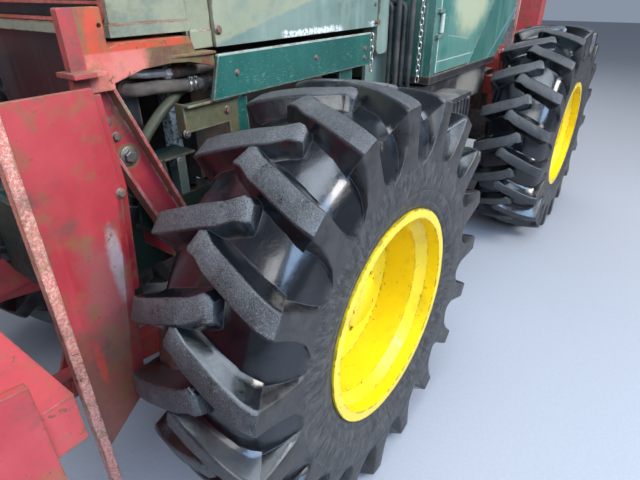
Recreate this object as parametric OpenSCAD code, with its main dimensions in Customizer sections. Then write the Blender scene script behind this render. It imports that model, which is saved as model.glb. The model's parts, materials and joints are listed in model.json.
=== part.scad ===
// Articulated forestry skidder with a front blade, a rear winch and arch, and a rear butt plate.
// +X is forward, +Y is the machine's left, +Z is up. The ground is z = 0 and x = 0 is mid-length.

/* [Overall] */
// Distance between the front and the rear axle
wheelbase = 2870; // [2700:10:3100]
// Distance between the middle planes of the left and right tyres
track = 1870; // [1830:10:2000]
// From the front axle to the front of the blade
front_reach = 1290; // [1250:10:1500]
// From the rear axle to the back of the butt plate
rear_reach = 1150; // [1120:10:1400]

/* [Tyres and rims] */
// Outer diameter over the lugs
tyre_od = 1590; // [1550:10:1640]
// Section width of the tyre at its widest
tyre_w = 500; // [470:10:520]
// Height of the lugs over the carcass
lug_h = 50; // [35:1:60]
// Number of lugs on each half of the tread
lug_count = 19; // [18:1:24]
// Radius of the rim's flange
rim_r = 403; // [395:1:410]
// Width of the rim over its flanges
rim_w = 464; // [440:2:470]
// Wall of the rim and its disc
rim_wall = 12; // [8:1:16]
// How far the disc lies inboard of the tyre's middle plane
disc_inset = 46; // [20:2:70]

/* [Axles] */
// Radius of the hub that carries the rim's disc
hub_r = 140; // [120:2:160]
// Radius of the axle tube
axle_tube_r = 105; // [90:1:120]
// Radius of the differential housing
diff_r = 215; // [190:1:230]

/* [Front frame] */
// Outer width over the two frame rails
rail_span = 660; // [620:10:700]
// Thickness of the rail plates
rail_t = 30; // [20:1:40]
// Height of the underside of the rails
rail_z = 915; // [905:1:940]
// Height of the rail plates
rail_h = 235; // [200:5:260]
// Height of the lower articulation joint
joint_low_z = 650; // [620:5:680]
// Height of the upper articulation joint
joint_high_z = 1085; // [1060:5:1110]
// Radius of the articulation pins
joint_pin_r = 45; // [35:1:55]

/* [Engine and hood] */
// Outer width of the hood
hood_w = 1000; // [900:10:1040]
// Length of the tilting hood
hood_len = 1050; // [950:10:1060]
// Height of the hood's lower edge
hood_low_z = 1682; // [1640:2:1700]
// Height of the hood's top
hood_top_z = 1960; // [1900:10:2000]
// Radius of the hood's upper edges
hood_round = 80; // [40:5:120]
// Wall of the hood, the cowls and the panels
sheet_t = 20; // [12:1:24]
// Length of the front cowl ahead of the hood
cowl_len = 365; // [330:5:370]
// Length of the engine block
engine_len = 860; // [700:10:900]
// Width of the engine block
engine_w = 520; // [420:10:560]
// Height of the engine block
engine_h = 560; // [480:10:600]
// Height of the long panel under the hood
panel_h = 140; // [100:5:150]

/* [Front guard] */
// Thickness of the red guard plates
guard_t = 14; // [10:1:20]
// Distance between the outer faces of the two guard plates
guard_span = 1200; // [1160:10:1240]
// Width of the channel brace over its web
channel_w = 110; // [100:5:150]
// Depth of the channel brace's flanges
channel_d = 50; // [40:1:70]
// Wall of the channel brace
channel_t = 10; // [8:1:14]
// Height of the front end of the guard's top beam
guard_beam_h = 91; // [80:1:110]
// Thickness of the guard's top beam
guard_beam_t = 80; // [50:5:100]

/* [Front blade] */
// Width of the blade
blade_w = 2260; // [2160:10:2340]
// Height of the blade
blade_h = 780; // [700:10:820]
// Height of the blade's lower edge when raised
blade_low_z = 600; // [560:10:640]
// Thickness of the blade's plates
blade_t = 16; // [12:1:20]
// Height of the arm pivot
arm_pivot_z = 560; // [530:5:580]
// Distance of the arm pivot behind the front axle
arm_pivot_back = 200; // [180:5:300]
// Thickness of the blade's arms
arm_t = 60; // [50:2:70]

/* [Cab] */
// Width of the cab
cab_w = 1400; // [1340:10:1440]
// Length of the cab from its front wall to its rear wall
cab_len = 1365; // [1300:5:1400]
// Height of the cab floor's underside
cab_floor_z = 1390; // [1380:5:1420]
// Height of the cab from the floor's underside to the roof's underside
cab_h = 1230; // [1180:10:1280]
// Thickness of the cab's walls and doors
wall_t = 45; // [35:1:55]
// Length of the slanted lower rear corner
cab_slant = 300; // [260:10:340]
// Height of the slanted lower rear corner
cab_slant_h = 225; // [180:5:260]
// Distance of the door's rear edge from the cab's rear wall
door_inset = 390; // [340:10:420]
// Thickness of the roof
roof_t = 130; // [100:5:150]
// Overhang of the roof over the walls
roof_lip = 45; // [20:5:50]

/* [Rear frame, winch and arch] */
// Outer width over the two rear frame rails
rear_span = 600; // [560:10:640]
// Radius of the winch drums' flanges
drum_flange_r = 230; // [200:5:250]
// Radius of the winch drums' barrels
drum_r = 120; // [100:5:140]
// Width of one winch drum
drum_w = 300; // [260:5:310]
// Height of the winch drums' axis
drum_z = 1420; // [1400:5:1460]
// Distance between the outer faces of the arch's legs
arch_span = 1330; // [1290:10:1340]
// Height of the arch
arch_z = 2280; // [2150:10:2350]
// Width of the arch's legs
arch_leg = 170; // [120:5:180]

/* [Butt plate] */
// Width of the butt plate
butt_w = 2100; // [1900:10:2300]
// Height of the butt plate
butt_h = 900; // [800:10:950]
// Height of the butt plate's lower edge when raised
butt_low_z = 420; // [400:10:460]

/* [Cylinders] */
// Radius of the blade and butt plate cylinder barrels
lift_barrel_r = 48; // [40:1:52]
// Radius of the blade and butt plate cylinder rods
lift_rod_r = 26; // [20:1:30]
// Radius of the steering cylinder barrels
steer_barrel_r = 42; // [36:1:46]
// Radius of the steering cylinder rods
steer_rod_r = 22; // [18:1:26]

/* [Clearances] */
// Gap between a moving panel and its frame
panel_gap = 6; // [5:0.5:8]
// Gap between two pieces that are seated on each other
seat_gap = 0.3; // [0.2:0.05:0.4]
// Radial clearance of pins and shafts in their bores
pin_gap = 0.05; // [0.02:0.01:0.1]
// Gap between a rod's eye and the cheeks of its clevis
eye_gap = 5; // [4:0.5:8]

/* [Hidden] */

$fn = 48;
eps = 0.01;

// Places along the machine, measured from its middle
front_x = (wheelbase + rear_reach - front_reach) / 2;
rear_x = front_x - wheelbase;
pivot_x = front_x - wheelbase / 2;
wheel_z = tyre_od / 2;
wheel_y = track / 2;
tyre_r = tyre_od / 2;
half_w = tyre_w / 2;
rail_y = rail_span / 2;
rail_top = rail_z + rail_h;
nose_x = front_x + 640;
nose_t = 30;
nose_wing = 190;
tail_x = pivot_x + 270;
rear_rail_y = rear_span / 2;

// Hood, cowls and panels
hood_y = hood_w / 2;
hood_x = front_x + 130;
hood_back_x = hood_x - hood_len;
cowl_x = hood_x + cowl_len;
cowl_low_z = hood_low_z + 56;
cowl_step_x = hood_x + 105;
cowl_step = 12;
lip_out = 9;
lip_h = 31;
rear_cowl_y = hood_y - 60;
core_x = cowl_x - 115;
core_y = hood_y - 110;
core_foot_z = 1362;
hinge_x = hood_x + 3;
hinge_z = hood_top_z + 14;
hood_hinge_y = 300;
panel_x = [hood_x - 930, hood_x + 40];
panel_y = hood_y + 40;
panel_top = hood_low_z - 17;
apron_x = [hood_x - 65, hood_x + 170];
apron_h = 92;
apron_z = panel_top - panel_h - apron_h;
peg_r = 5;
panel_peg = [panel_x[0] - 20, panel_y - 7, panel_top - 14];

// Cab
cab_x = hood_back_x - 230;
cab_back_x = cab_x - cab_len;
cab_y = cab_w / 2;
cab_top_z = cab_floor_z + cab_h;
floor_t = 40;
valve_z = rail_top - 75;
door_front_x = cab_x - 65;
door_back_x = cab_back_x + door_inset;
door_low_z = cab_floor_z + floor_t + 10;
door_top_z = cab_top_z - 50;
rear_sill_z = cab_floor_z + 520;
step_z = 500;
box_x = [cab_x - 340, cab_x + 35];
box_y = cab_y + 120;
box_z = [1070, 1320];
hinge_out = 12;
hinge_pin_r = 5;
door_pin = [door_front_x - 2, cab_y + hinge_out];
door_hinges = [door_low_z + 200, door_top_z - 260];

seat_x = cab_x - 720;
cab_peg = [cab_x + 20, cab_y - 62, hood_top_z - 90];

// Front blade and its arms
arm_pivot_x = front_x - arm_pivot_back;
arm_y = 392;
blade_back_x = front_x + 1020;
blade_plate_x = blade_back_x + 95;
blade_front_x = front_x + front_reach;
blade_top_z = blade_low_z + blade_h;
guard_x = nose_x + 40;
guard_top = 1640;
beam_y = hood_y + 40;
beam_z = 1615;
beam_end_x = guard_x - 85;
channel_lean = 240;

// Blade cylinders: pin on the frame, eye on the arm
blade_pin = [front_x + 470, 1300];
blade_eye = [front_x + 736, 800];

// Steering cylinders: pin on the front frame, eye on the rear frame
steer_z = 900;
steer_pin = [pivot_x + 620, 215];
steer_slot_y = 206;
steer_slot_half = 91;
steer_eye = [pivot_x - 150, 195];

// Winch and arch
drum_x = rear_x - 10;
arch_x = rear_x - 560;
rear_top = rail_top;
eye_x = arch_x - 85;
eye_y = arch_span / 2 - 85;

// Butt plate: arm pivot, cylinder pin and eye
butt_pivot = [rear_x - 330, 640];
butt_back_x = rear_x - rear_reach;
butt_face_x = butt_back_x + 130;
butt_arm_y = 430;
butt_pin = [rear_x - 640, 1290];
butt_eye = [butt_face_x + 150, 800];

// Cylinders: width of the eyes and lengths of the barrels and rods
lift_eye_w = 60;
blade_barrel_len = norm(blade_pin - blade_eye) - 86;
blade_rod_len = norm(blade_pin - blade_eye) - 81;
butt_barrel_len = norm(butt_pin - butt_eye) - 100;
butt_rod_len = norm(butt_pin - butt_eye) - 136;
steer_eye_w = 60;
steer_barrel_len = 500;
steer_rod_len = 540;
cheek_t = 14;

// Height of the propeller shafts
shaft_z = wheel_z;
shaft_r = 38;
pinion_len = 240;

// Chain links
link_pitch = 28;
link_bar_r = 3.5;
link_r = 8.5;

// Shared helpers

// A box from its lowest to its highest corner
module block(lo, hi) {
  translate(lo) cube(hi - lo);
}

// The same piece on the left and on the right
module both_sides() {
  children();
  mirror([0, 1, 0]) children();
}

// An outline in the XZ plane, as a plate from y0 to y1
module side_plate(y0, y1) {
  translate([0, y1, 0]) rotate([90, 0, 0]) linear_extrude(y1 - y0) children();
}

// An outline in the YZ plane, as a plate from x0 to x1
module cross_plate(x0, x1) {
  translate([x0, 0, 0]) rotate([90, 0, 90]) linear_extrude(x1 - x0) children();
}

// An outline in the XY plane, as a plate from z0 to z1
module flat_plate(z0, z1) {
  translate([0, 0, z0]) linear_extrude(z1 - z0) children();
}

// A round bar along Y
module y_bar(x, z, r, y0, y1) {
  translate([x, y1, z]) rotate([90, 0, 0]) cylinder(r = r, h = y1 - y0);
}

// A round bar along X
module x_bar(y, z, r, x0, x1) {
  translate([x0, y, z]) rotate([0, 90, 0]) cylinder(r = r, h = x1 - x0);
}

// A round bar along Z
module z_bar(x, y, r, z0, z1) {
  translate([x, y, z0]) cylinder(r = r, h = z1 - z0);
}

// A rectangle from lo to hi with round corners
module rounded(lo, hi, r) {
  translate([lo[0] + r, lo[1]]) square([hi[0] - lo[0] - 2 * r, hi[1] - lo[1]]);
  translate([lo[0], lo[1] + r]) square([hi[0] - lo[0], hi[1] - lo[1] - 2 * r]);
  for (x = [lo[0] + r, hi[0] - r]) for (y = [lo[1] + r, hi[1] - r]) translate([x, y]) circle(r);
}

// A rectangle with only its two upper corners round
module arched(lo, hi, r) {
  translate(lo) square([hi[0] - lo[0], hi[1] - lo[1] - r]);
  translate([lo[0] + r, lo[1]]) square([hi[0] - lo[0] - 2 * r, hi[1] - lo[1]]);
  for (x = [lo[0] + r, hi[0] - r]) translate([x, hi[1] - r]) circle(r);
}

// Where the two cheeks of a clevis start, for an eye of width w at y
function cheeks(y, w) = [y - w / 2 - eye_gap - cheek_t, y + w / 2 + eye_gap];

// Cylinder barrel along +X from its pin at the origin, with a bore for the rod and an eye across Y
module barrel(len, r, rod_r, pin_r, eye_w) {
  difference() {
    union() {
      rotate([0, 90, 0]) cylinder(r = eye_w / 2 - 2, h = r * 1.7);
      translate([r * 1.6, 0, 0]) rotate([0, 90, 0]) cylinder(r = r, h = len - r * 1.6);
      translate([len - 30, 0, 0]) rotate([0, 90, 0]) cylinder(r = r + 7, h = 30);
      y_bar(0, 0, r, -eye_w / 2, eye_w / 2);
    }
    translate([r * 1.65, 0, 0]) rotate([0, 90, 0]) cylinder(r = rod_r + pin_gap, h = len);
    y_bar(0, 0, pin_r + pin_gap, -eye_w, eye_w);
  }
}

// Cylinder rod whose eye lies at the origin and which runs back along -X
module rod(len, rod_r, eye_r, eye_w) {
  difference() {
    union() {
      translate([-len, 0, 0]) rotate([0, 90, 0]) cylinder(r = rod_r, h = len - eye_r * 0.8);
      y_bar(0, 0, eye_r, -eye_w / 2, eye_w / 2);
    }
    y_bar(0, 0, rod_r - 4, -eye_w, eye_w);
  }
}

// Puts a cylinder's own X axis on the line from a to b in the XZ plane
module aim_xz(a, b, at) {
  d = b - a;
  translate([at[0], 0, at[1]]) rotate([0, -atan2(d[1], d[0]), 0]) children();
}

// Puts a cylinder's own X axis on the line from a to b in the XY plane
module aim_xy(a, b, at, z) {
  d = b - a;
  translate([at[0], at[1], z]) rotate([0, 0, atan2(d[1], d[0])]) rotate([90, 0, 0]) children();
}

// Wheels

// Stations of a lug, from the middle of the tread to the sidewall. Columns: lead around the tyre, half
// width at the top, half width at the root, top across and below the crown, root across and below it
LUG = [
  [0, 34, 46, -52, 0, -48, lug_h + 14],
  [-100, 38, 52, half_w - 32, 18, half_w - 42, lug_h + 34],
  [-110, 39, 54, half_w - 1, 48, half_w - 34, 108],
  [-118, 45, 56, half_w + 1, 208, half_w - 20, 212]
];

// The four corners of a lug at one station, turned around the wheel's axis
function lug_corners(s) = let(top = [s[3], tyre_r - s[4]], root = [s[5], tyre_r - s[6]])
  [for (c = [[top, s[1]], [root, s[2]], [root, -s[2]], [top, -s[1]]])
    let(a = (s[0] + c[1]) / tyre_r * 180 / PI) [c[0][1] * cos(a), c[0][0], c[0][1] * sin(a)]];

module lug() {
  last = len(LUG) - 1;
  points = [for (s = LUG) each lug_corners(s)];
  sides = [for (i = [0:last - 1]) for (k = [0:3]) let(n = (k + 1) % 4)
    [i * 4 + k, i * 4 + n, i * 4 + 4 + n, i * 4 + 4 + k]];
  polyhedron(points, concat([[3, 2, 1, 0]], sides, [[for (k = [0:3]) last * 4 + k]]));
}

// Outline of the carcass, radius against distance from the middle plane
module carcass_half() {
  crown = tyre_r - lug_h;
  bead = rim_r - 22 + seat_gap;
  polygon([[bead, 0.5 * rim_w - 60], [bead, 0.5 * rim_w - 10 - seat_gap], [rim_r + 2, 0.5 * rim_w - 10 - seat_gap],
    [rim_r + 18, half_w - 22], [rim_r + 70, half_w - 6], [rim_r + 170, half_w], [crown - 85, half_w - 6],
    [crown - 38, half_w - 22], [crown - 14, half_w - 60], [crown - 3, half_w - 140], [crown, 0],
    [crown - 42, 0], [crown - 50, half_w - 110], [crown - 95, half_w - 46], [rim_r + 150, half_w - 30],
    [rim_r + 30, half_w - 52]]);
}

module tyre() {
  rotate([90, 0, 0]) rotate_extrude($fn = 96) {
    carcass_half();
    mirror([0, 1]) carcass_half();
  }
  step = 360 / lug_count;
  // Turned so that one lug's edge points straight down
  tip = (LUG[0][0] + LUG[0][1]) / tyre_r * 180 / PI;
  for (i = [0:lug_count - 1]) rotate([0, 90 + tip + i * step, 0]) {
    lug();
    rotate([0, step / 2, 0]) mirror([0, 1, 0]) lug();
  }
}

// Rim with its outboard face towards +Y
module rim() {
  seat = rim_r - 22;
  well = rim_r - 58;
  edge = rim_w / 2;
  rotate([-90, 0, 0]) rotate_extrude($fn = 96) {
    polygon([[rim_r, edge], [rim_r, edge - 10], [seat, edge - 10], [seat, edge - 58], [well, edge - 96], [well, -30],
      [seat, -90], [seat, 10 - edge], [rim_r, 10 - edge], [rim_r, -edge], [seat - rim_wall, -edge],
      [seat - rim_wall, -96], [well - rim_wall, -36], [well - rim_wall, edge - 90], [seat - rim_wall, edge - 52],
      [seat - rim_wall, edge]]);
    polygon([[well - 4, 6], [well - 4, -12], [well - 100, -disc_inset - rim_wall], [hub_r + pin_gap, -disc_inset - rim_wall],
      [hub_r + pin_gap, -disc_inset], [well - 104, -disc_inset]]);
  }
  for (i = [0:9]) rotate([0, i * 36, 0]) y_bar(hub_r + 38, 0, 15, -disc_inset - eps, -disc_inset + 22);
}

module wheel_at(x, side) {
  translate([x, side * wheel_y, wheel_z]) mirror([0, side < 0 ? 1 : 0, 0]) children();
}

module axle(x) {
  hub_face = wheel_y - disc_inset - rim_wall - seat_gap;
  translate([x, 0, wheel_z]) {
    y_bar(0, 0, axle_tube_r, -hub_face + 20, hub_face - 20);
    y_bar(0, 0, diff_r * 0.75, -diff_r, diff_r);
    rotate([0, 90, 0]) cylinder(r = diff_r, h = 190, center = true);
    // Nose of the pinion, towards the middle of the machine
    x_bar(0, 0, 70, x > 0 ? -pinion_len : 0, x > 0 ? 0 : pinion_len);
    both_sides() {
      y_bar(0, 0, 175, hub_face - 150, hub_face - 26);
      y_bar(0, 0, 205, hub_face - 30, hub_face);
      y_bar(0, 0, hub_r, hub_face - 10, hub_face + 100);
      y_bar(0, 0, hub_r - 45, hub_face + 90, hub_face + 125);
    }
  }
  both_sides() block([x - 110, rail_y - 90, wheel_z], [x + 110, rail_y + 40, rail_z]);
}

module front_axle() color("dimgray") axle(front_x);

module rear_axle() color("dimgray") {
  axle(rear_x);
  x_bar(0, shaft_z, shaft_r, rear_x, pivot_x - shaft_r - 28);
}

// Front frame

module front_frame() color("darkgreen") {
  both_sides() {
    side_plate(rail_y - rail_t, rail_y) polygon([[nose_x, rail_z], [nose_x, rail_top], [tail_x, rail_top],
      [tail_x, joint_low_z - 60], [tail_x + 220, joint_low_z - 60], [tail_x + 420, rail_z]]);
    // Ear that carries the blade arm's pin
    side_plate(rail_y - rail_t / 2, arm_y - arm_t / 2 - panel_gap) polygon([[arm_pivot_x - 60, arm_pivot_z - 60],
      [arm_pivot_x + 55, arm_pivot_z - 60], [arm_pivot_x + 75, rail_z + 40], [arm_pivot_x - 160, rail_z + 40]]);
    y_bar(arm_pivot_x, arm_pivot_z, 35, rail_y - rail_t / 2, arm_y + arm_t / 2 + 14);
    // Clevis of the blade cylinder
    for (y = cheeks(arm_y, lift_eye_w)) side_plate(y, y + cheek_t) {
      translate(blade_pin) circle(50);
      polygon([[blade_pin[0] - 150, rail_top - 50], [blade_pin[0] - 25, rail_top - 50], [blade_pin[0] - 45, blade_pin[1] - 95],
        [blade_pin[0], blade_pin[1] - 50], [blade_pin[0], blade_pin[1] + 50], [blade_pin[0] - 110, blade_pin[1] + 50]]);
    }
    // Shelf that the clevis stands on, and the ledge over it
    block([blade_pin[0] - 150, rail_y - eps, rail_top - 55], [blade_pin[0] - 25, arm_y + 50, rail_top - 40]);
    block([blade_pin[0] - 235, arm_y - 56, blade_pin[1] + 44], [blade_pin[0] - 105, arm_y + 58, blade_pin[1] + 52]);
    y_bar(blade_pin[0], blade_pin[1], lift_rod_r - 4, arm_y - 60, arm_y + 60);
    // Plates of the steering cylinder's pin
    for (z = [steer_z - steer_eye_w / 2 - 5 - 16, steer_z + steer_eye_w / 2 + 5]) flat_plate(z, z + 16)
      polygon([[steer_pin[0] - 45, steer_pin[1] - 50], [steer_pin[0] + 60, steer_pin[1] - 50],
        [steer_pin[0] + 90, rail_y - rail_t + eps], [steer_pin[0] - 45, rail_y - rail_t + eps]]);
    z_bar(steer_pin[0], steer_pin[1], steer_rod_r - 4, steer_z - 65, steer_z + 65);
  }
  // Beams that carry the cab over the articulation
  both_sides() {
    block([tail_x, rail_y - 80, rail_top - eps], [tail_x + 130, rail_y, cab_floor_z - seat_gap]);
    block([cab_back_x + cab_slant, rail_y - 80, rail_top + 30], [tail_x + 130, rail_y, cab_floor_z - seat_gap]);
  }
  // Valve block that the hoses run to
  block([cab_x + 20, rail_y - eps, valve_z - 90], [hood_back_x - 10, hood_y + 125, valve_z]);
  // Nose plate with slots for the blade's cylinders, cross members and tail plate
  difference() {
    block([nose_x - eps, -rail_y - nose_wing, rail_z - 120], [nose_x + nose_t, rail_y + nose_wing, rail_top]);
    both_sides() block([nose_x - 1, rail_y, rail_z - 121], [nose_x + nose_t + 1, rail_y + nose_wing + 1, rail_top - 45]);
  }
  for (x = [front_x + 330, front_x - 260]) block([x, -rail_y + rail_t, rail_z + 60], [x + 30, rail_y - rail_t, rail_top]);
  difference() {
    block([tail_x, -rail_y, joint_low_z - 60], [tail_x + 30, rail_y, rail_top]);
    x_bar(0, shaft_z, 75, tail_x - 1, tail_x + 31);
    for (side = [-1, 1]) block([tail_x - 1, side * steer_slot_y - steer_slot_half, steer_z - 62],
      [tail_x + 31, side * steer_slot_y + steer_slot_half, steer_z + 62]);
  }
  // Articulation lugs and pins
  for (z = [joint_low_z - 30, joint_high_z - 10]) {
    flat_plate(z, z + 40) {
      translate([pivot_x, 0]) circle(100);
      polygon([[pivot_x, -100], [pivot_x, 100], [tail_x, 190], [tail_x, -190]]);
    }
  }
  z_bar(pivot_x, 0, joint_pin_r, joint_low_z - 45, joint_low_z + 65);
  z_bar(pivot_x, 0, joint_pin_r, joint_high_z - 60, joint_high_z + 45);
}

// Engine bay

module engine_block() color("slategray") {
  block([front_x - 130 - engine_len + 200, -engine_w / 2, rail_top + seat_gap],
    [front_x + 70, engine_w / 2, rail_top + engine_h - 80]);
  block([front_x - 500, -rail_y, rail_top + seat_gap], [front_x - 380, rail_y, rail_top + 60]);
}

module radiator() color("dimgray") {
  block([core_x, -core_y, core_foot_z], [core_x + 80, core_y, hood_top_z - 70]);
  // Narrower foot between the blade cylinders
  block([core_x, -rail_y + 10, rail_top + seat_gap], [core_x + 80, rail_y - 10, core_foot_z + eps]);
}

// Outline of the hood, in the YZ plane
module hood_outline(inset, low) {
  arched([-hood_y + inset, low], [hood_y - inset, hood_top_z - inset], hood_round - inset);
}

module front_cowl() color("darkseagreen") {
  difference() {
    union() {
      cross_plate(cowl_step_x, cowl_x) hood_outline(0, cowl_low_z);
      // Narrower post behind the box, with the thicker block at its foot
      cross_plate(hood_x + panel_gap, cowl_step_x + 1) hood_outline(cowl_step, hood_low_z + 2);
      both_sides() block([hood_x + panel_gap + 6, hood_y - cowl_step - 1, hood_low_z + 2], [cowl_step_x - 6, hood_y - 3, hood_low_z + 54]);
    }
    cross_plate(cowl_step_x + 1, cowl_x - sheet_t) hood_outline(sheet_t, cowl_low_z - 1);
    cross_plate(hood_x, cowl_step_x + 2) hood_outline(cowl_step + sheet_t, hood_low_z + 1);
    cross_plate(cowl_x - sheet_t - 1, cowl_x + 1) front_window(0);
  }
  // Lip along the lower edge, around the front corner
  both_sides() block([cowl_step_x, hood_y - eps, cowl_low_z], [cowl_x + lip_out, hood_y + lip_out, cowl_low_z + lip_h]);
  block([cowl_x - eps, -hood_y - eps, cowl_low_z], [cowl_x + lip_out, hood_y + eps, cowl_low_z + lip_h]);
  both_sides() {
    // Leg on the frame and the shelf that joins it to the cowl
    block([hood_x + 60, rail_y - 50, rail_top + seat_gap], [hood_x + 100, rail_y, cowl_low_z + 40]);
    block([hood_x + 60, rail_y - 50, cowl_low_z], [hood_x + 100, hood_y - cowl_step - sheet_t + 10, cowl_low_z + 40]);
    // Ears and pin of the hood's hinge
    for (y = [hood_hinge_y - 40, hood_hinge_y + 30]) side_plate(y, y + 10) hinge_ear();
    y_bar(hinge_x, hinge_z, hinge_pin_r, hood_hinge_y - 40, hood_hinge_y + 40);
  }
}

// Outline of the opening in the cowl's front that the grille fills
module front_window(gap) {
  rounded([-hood_y + 14 + gap, cowl_low_z + lip_h + 2 + gap], [hood_y - 14 - gap, hood_top_z - 45 - gap], 24);
}

// Ear of the hood's hinge on the cowl
module hinge_ear() {
  polygon([[hinge_x, hinge_z - 6], [hood_x + panel_gap, hood_top_z - cowl_step - 1], [hood_x + 50, hood_top_z - cowl_step - 1],
    [hinge_x, hinge_z + 9]]);
  translate([hinge_x, hinge_z]) circle(9);
}

module grille() color("firebrick") {
  low = cowl_low_z + lip_h + 12;
  pitch = (hood_top_z - 47 - low) / 3;
  difference() {
    cross_plate(cowl_x - sheet_t, cowl_x + 4) front_window(seat_gap);
    // Three wide slots with round corners
    cross_plate(cowl_x - sheet_t - 1, cowl_x + 5)
      for (i = [0:2]) rounded([-hood_y + 26, low + i * pitch], [hood_y - 26, low + (i + 1) * pitch - 8], 12);
  }
}

module hood() color("darkseagreen") {
  difference() {
    cross_plate(hood_back_x, hood_x) hood_outline(0, hood_low_z);
    cross_plate(hood_back_x - 1, hood_x + 1) hood_outline(sheet_t, hood_low_z - 1);
  }
  // Hinge knuckles on the front edge
  both_sides() difference() {
    union() {
      y_bar(hinge_x, hinge_z, 9, hood_hinge_y - 25, hood_hinge_y + 25);
      side_plate(hood_hinge_y - 25, hood_hinge_y + 25) polygon([[hinge_x, hinge_z - 8], [hood_x - 4, hood_top_z - 1],
        [hood_x - 60, hood_top_z - 1], [hood_x - 60, hood_top_z + 6], [hinge_x, hinge_z + 9]]);
    }
    y_bar(hinge_x, hinge_z, hinge_pin_r + pin_gap, hood_hinge_y - 26, hood_hinge_y + 26);
  }
}

module rear_cowl() color("darkseagreen") {
  y = rear_cowl_y;
  // Flange that carries on the hood's side, cut back where the tilting hood swings past
  difference() {
    both_sides() side_plate(y - eps, hood_y)
      rounded([cab_x + 115, hood_low_z - 130], [hood_back_x - panel_gap, hood_top_z - 80], 30);
    translate([hinge_x, hood_y + 1, hinge_z]) rotate([90, 0, 0])
      cylinder(r = norm([hinge_x - hood_back_x, hinge_z - hood_low_z]) + panel_gap, h = 2 * hood_y + 2, $fn = 192);
  }
  difference() {
    block([cab_x + seat_gap, -y, rail_top + seat_gap], [hood_back_x - panel_gap, y, hood_top_z]);
    block([cab_x + sheet_t, -y + sheet_t, rail_top - 1], [hood_back_x, y - sheet_t, hood_top_z - sheet_t]);
    // Passage for the beams that carry the cab
    block([cab_x, -rail_y - panel_gap, rail_top - 1], [cab_x + sheet_t + 1, rail_y + panel_gap, cab_floor_z + panel_gap]);
  }
}

module lower_panels() color("seagreen") both_sides() {
  side_plate(panel_y - 14, panel_y) polygon([[panel_x[0], panel_top - panel_h], [panel_x[1] + 32, panel_top - panel_h],
    [panel_x[1] - 8, panel_top], [panel_x[0], panel_top]]);
  block([panel_x[0], panel_y - 50, panel_top - panel_h], [panel_x[1], panel_y - 14 + eps, panel_top - panel_h + 10]);
  // Lower bracket at the front, with its top and front flanges
  block([apron_x[0], panel_y - 48, apron_z], [apron_x[1], panel_y - 38, apron_z + apron_h]);
  block([apron_x[0], panel_y - 48, apron_z + apron_h - 8], [apron_x[1], panel_y - 12, apron_z + apron_h]);
  block([apron_x[1] - 8, panel_y - 80, apron_z], [apron_x[1], panel_y - 38, apron_z + apron_h]);
  // Brackets that carry the panel on the frame
  for (x = [front_x + 10, front_x - 700]) side_plate(panel_y - 50, panel_y - 38)
    polygon([[x, panel_top - panel_h + 10], [x + 110, panel_top - panel_h + 10], [x + 60, rail_top - 20], [x, rail_top - 20]]);
  for (x = [front_x + 10, front_x - 700]) block([x, rail_y + seat_gap, rail_top - 60], [x + 60, panel_y - 38, rail_top - 20]);
  // Peg that carries the short chain
  x_bar(panel_peg[1], panel_peg[2], peg_r, panel_peg[0] - 10, panel_x[0] + 1);
}

// Front guard

module front_guard() color("firebrick") both_sides() {
  y = guard_span / 2;
  // Side sheet, its set-back rear strip and the bar along its front corner
  side_plate(y - guard_t, y) polygon([[guard_x - 45, guard_top], [guard_x - 60, 1364], [guard_x + 9, 677], [guard_x + 180, 545],
    [guard_x + 180, guard_top]]);
  side_plate(y - guard_t - 10, y - guard_t + eps) polygon([[guard_x - 70, guard_top - 20], [guard_x - 85, 1364], [guard_x - 55, 1040],
    [guard_x + 60, 1040], [guard_x + 60, guard_top - 20]]);
  block([guard_x + 177, y - guard_t, 380], [guard_x + 207, y + 16, guard_top]);
  // Foot that joins the sheet to the frame's nose
  block([nose_x + nose_t + seat_gap, rail_y - 40, rail_top - 70], [guard_x + 30, y - guard_t + eps, rail_top]);
  // Post with its bolt hole, standing on the beam
  difference() {
    side_plate(beam_y - 25, beam_y) rounded([guard_x - 143, beam_z], [guard_x - 33, beam_z + 200], 6);
    y_bar(guard_x - 132, beam_z + 157, 6, beam_y - 26, beam_y + 1);
  }
  // Beam, deep at the front and cut down under the cowl's post
  side_plate(beam_y - guard_beam_t, beam_y) polygon([[beam_end_x, beam_z], [beam_end_x - 150, beam_z + 40], [beam_end_x - 250, beam_z + 45],
    [beam_end_x - 318, beam_z + 41], [beam_end_x - 415, beam_z + 18], [beam_end_x - 415, beam_z + 51], [beam_end_x - 348, beam_z + 57],
    [beam_end_x - 326, beam_z + 112], [beam_end_x - 100, beam_z + 112], [beam_end_x, beam_z + guard_beam_h]]);
  // Tray that runs back from the beam under the cowl's post
  flat_plate(beam_z + 57, beam_z + 64) polygon([[beam_end_x - 250, beam_y - 20], [beam_end_x - 250, beam_y], [beam_end_x - 366, beam_y + 12],
    [beam_end_x - 415, beam_y + 12], [beam_end_x - 415, beam_y - 60], [beam_end_x - 330, beam_y - 60]]);
  // Tie between the beam and the sheet
  block([beam_end_x - 20, beam_y - 40, beam_z + 45], [guard_x - 15, y - guard_t + eps, beam_z + 57]);
}

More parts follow.
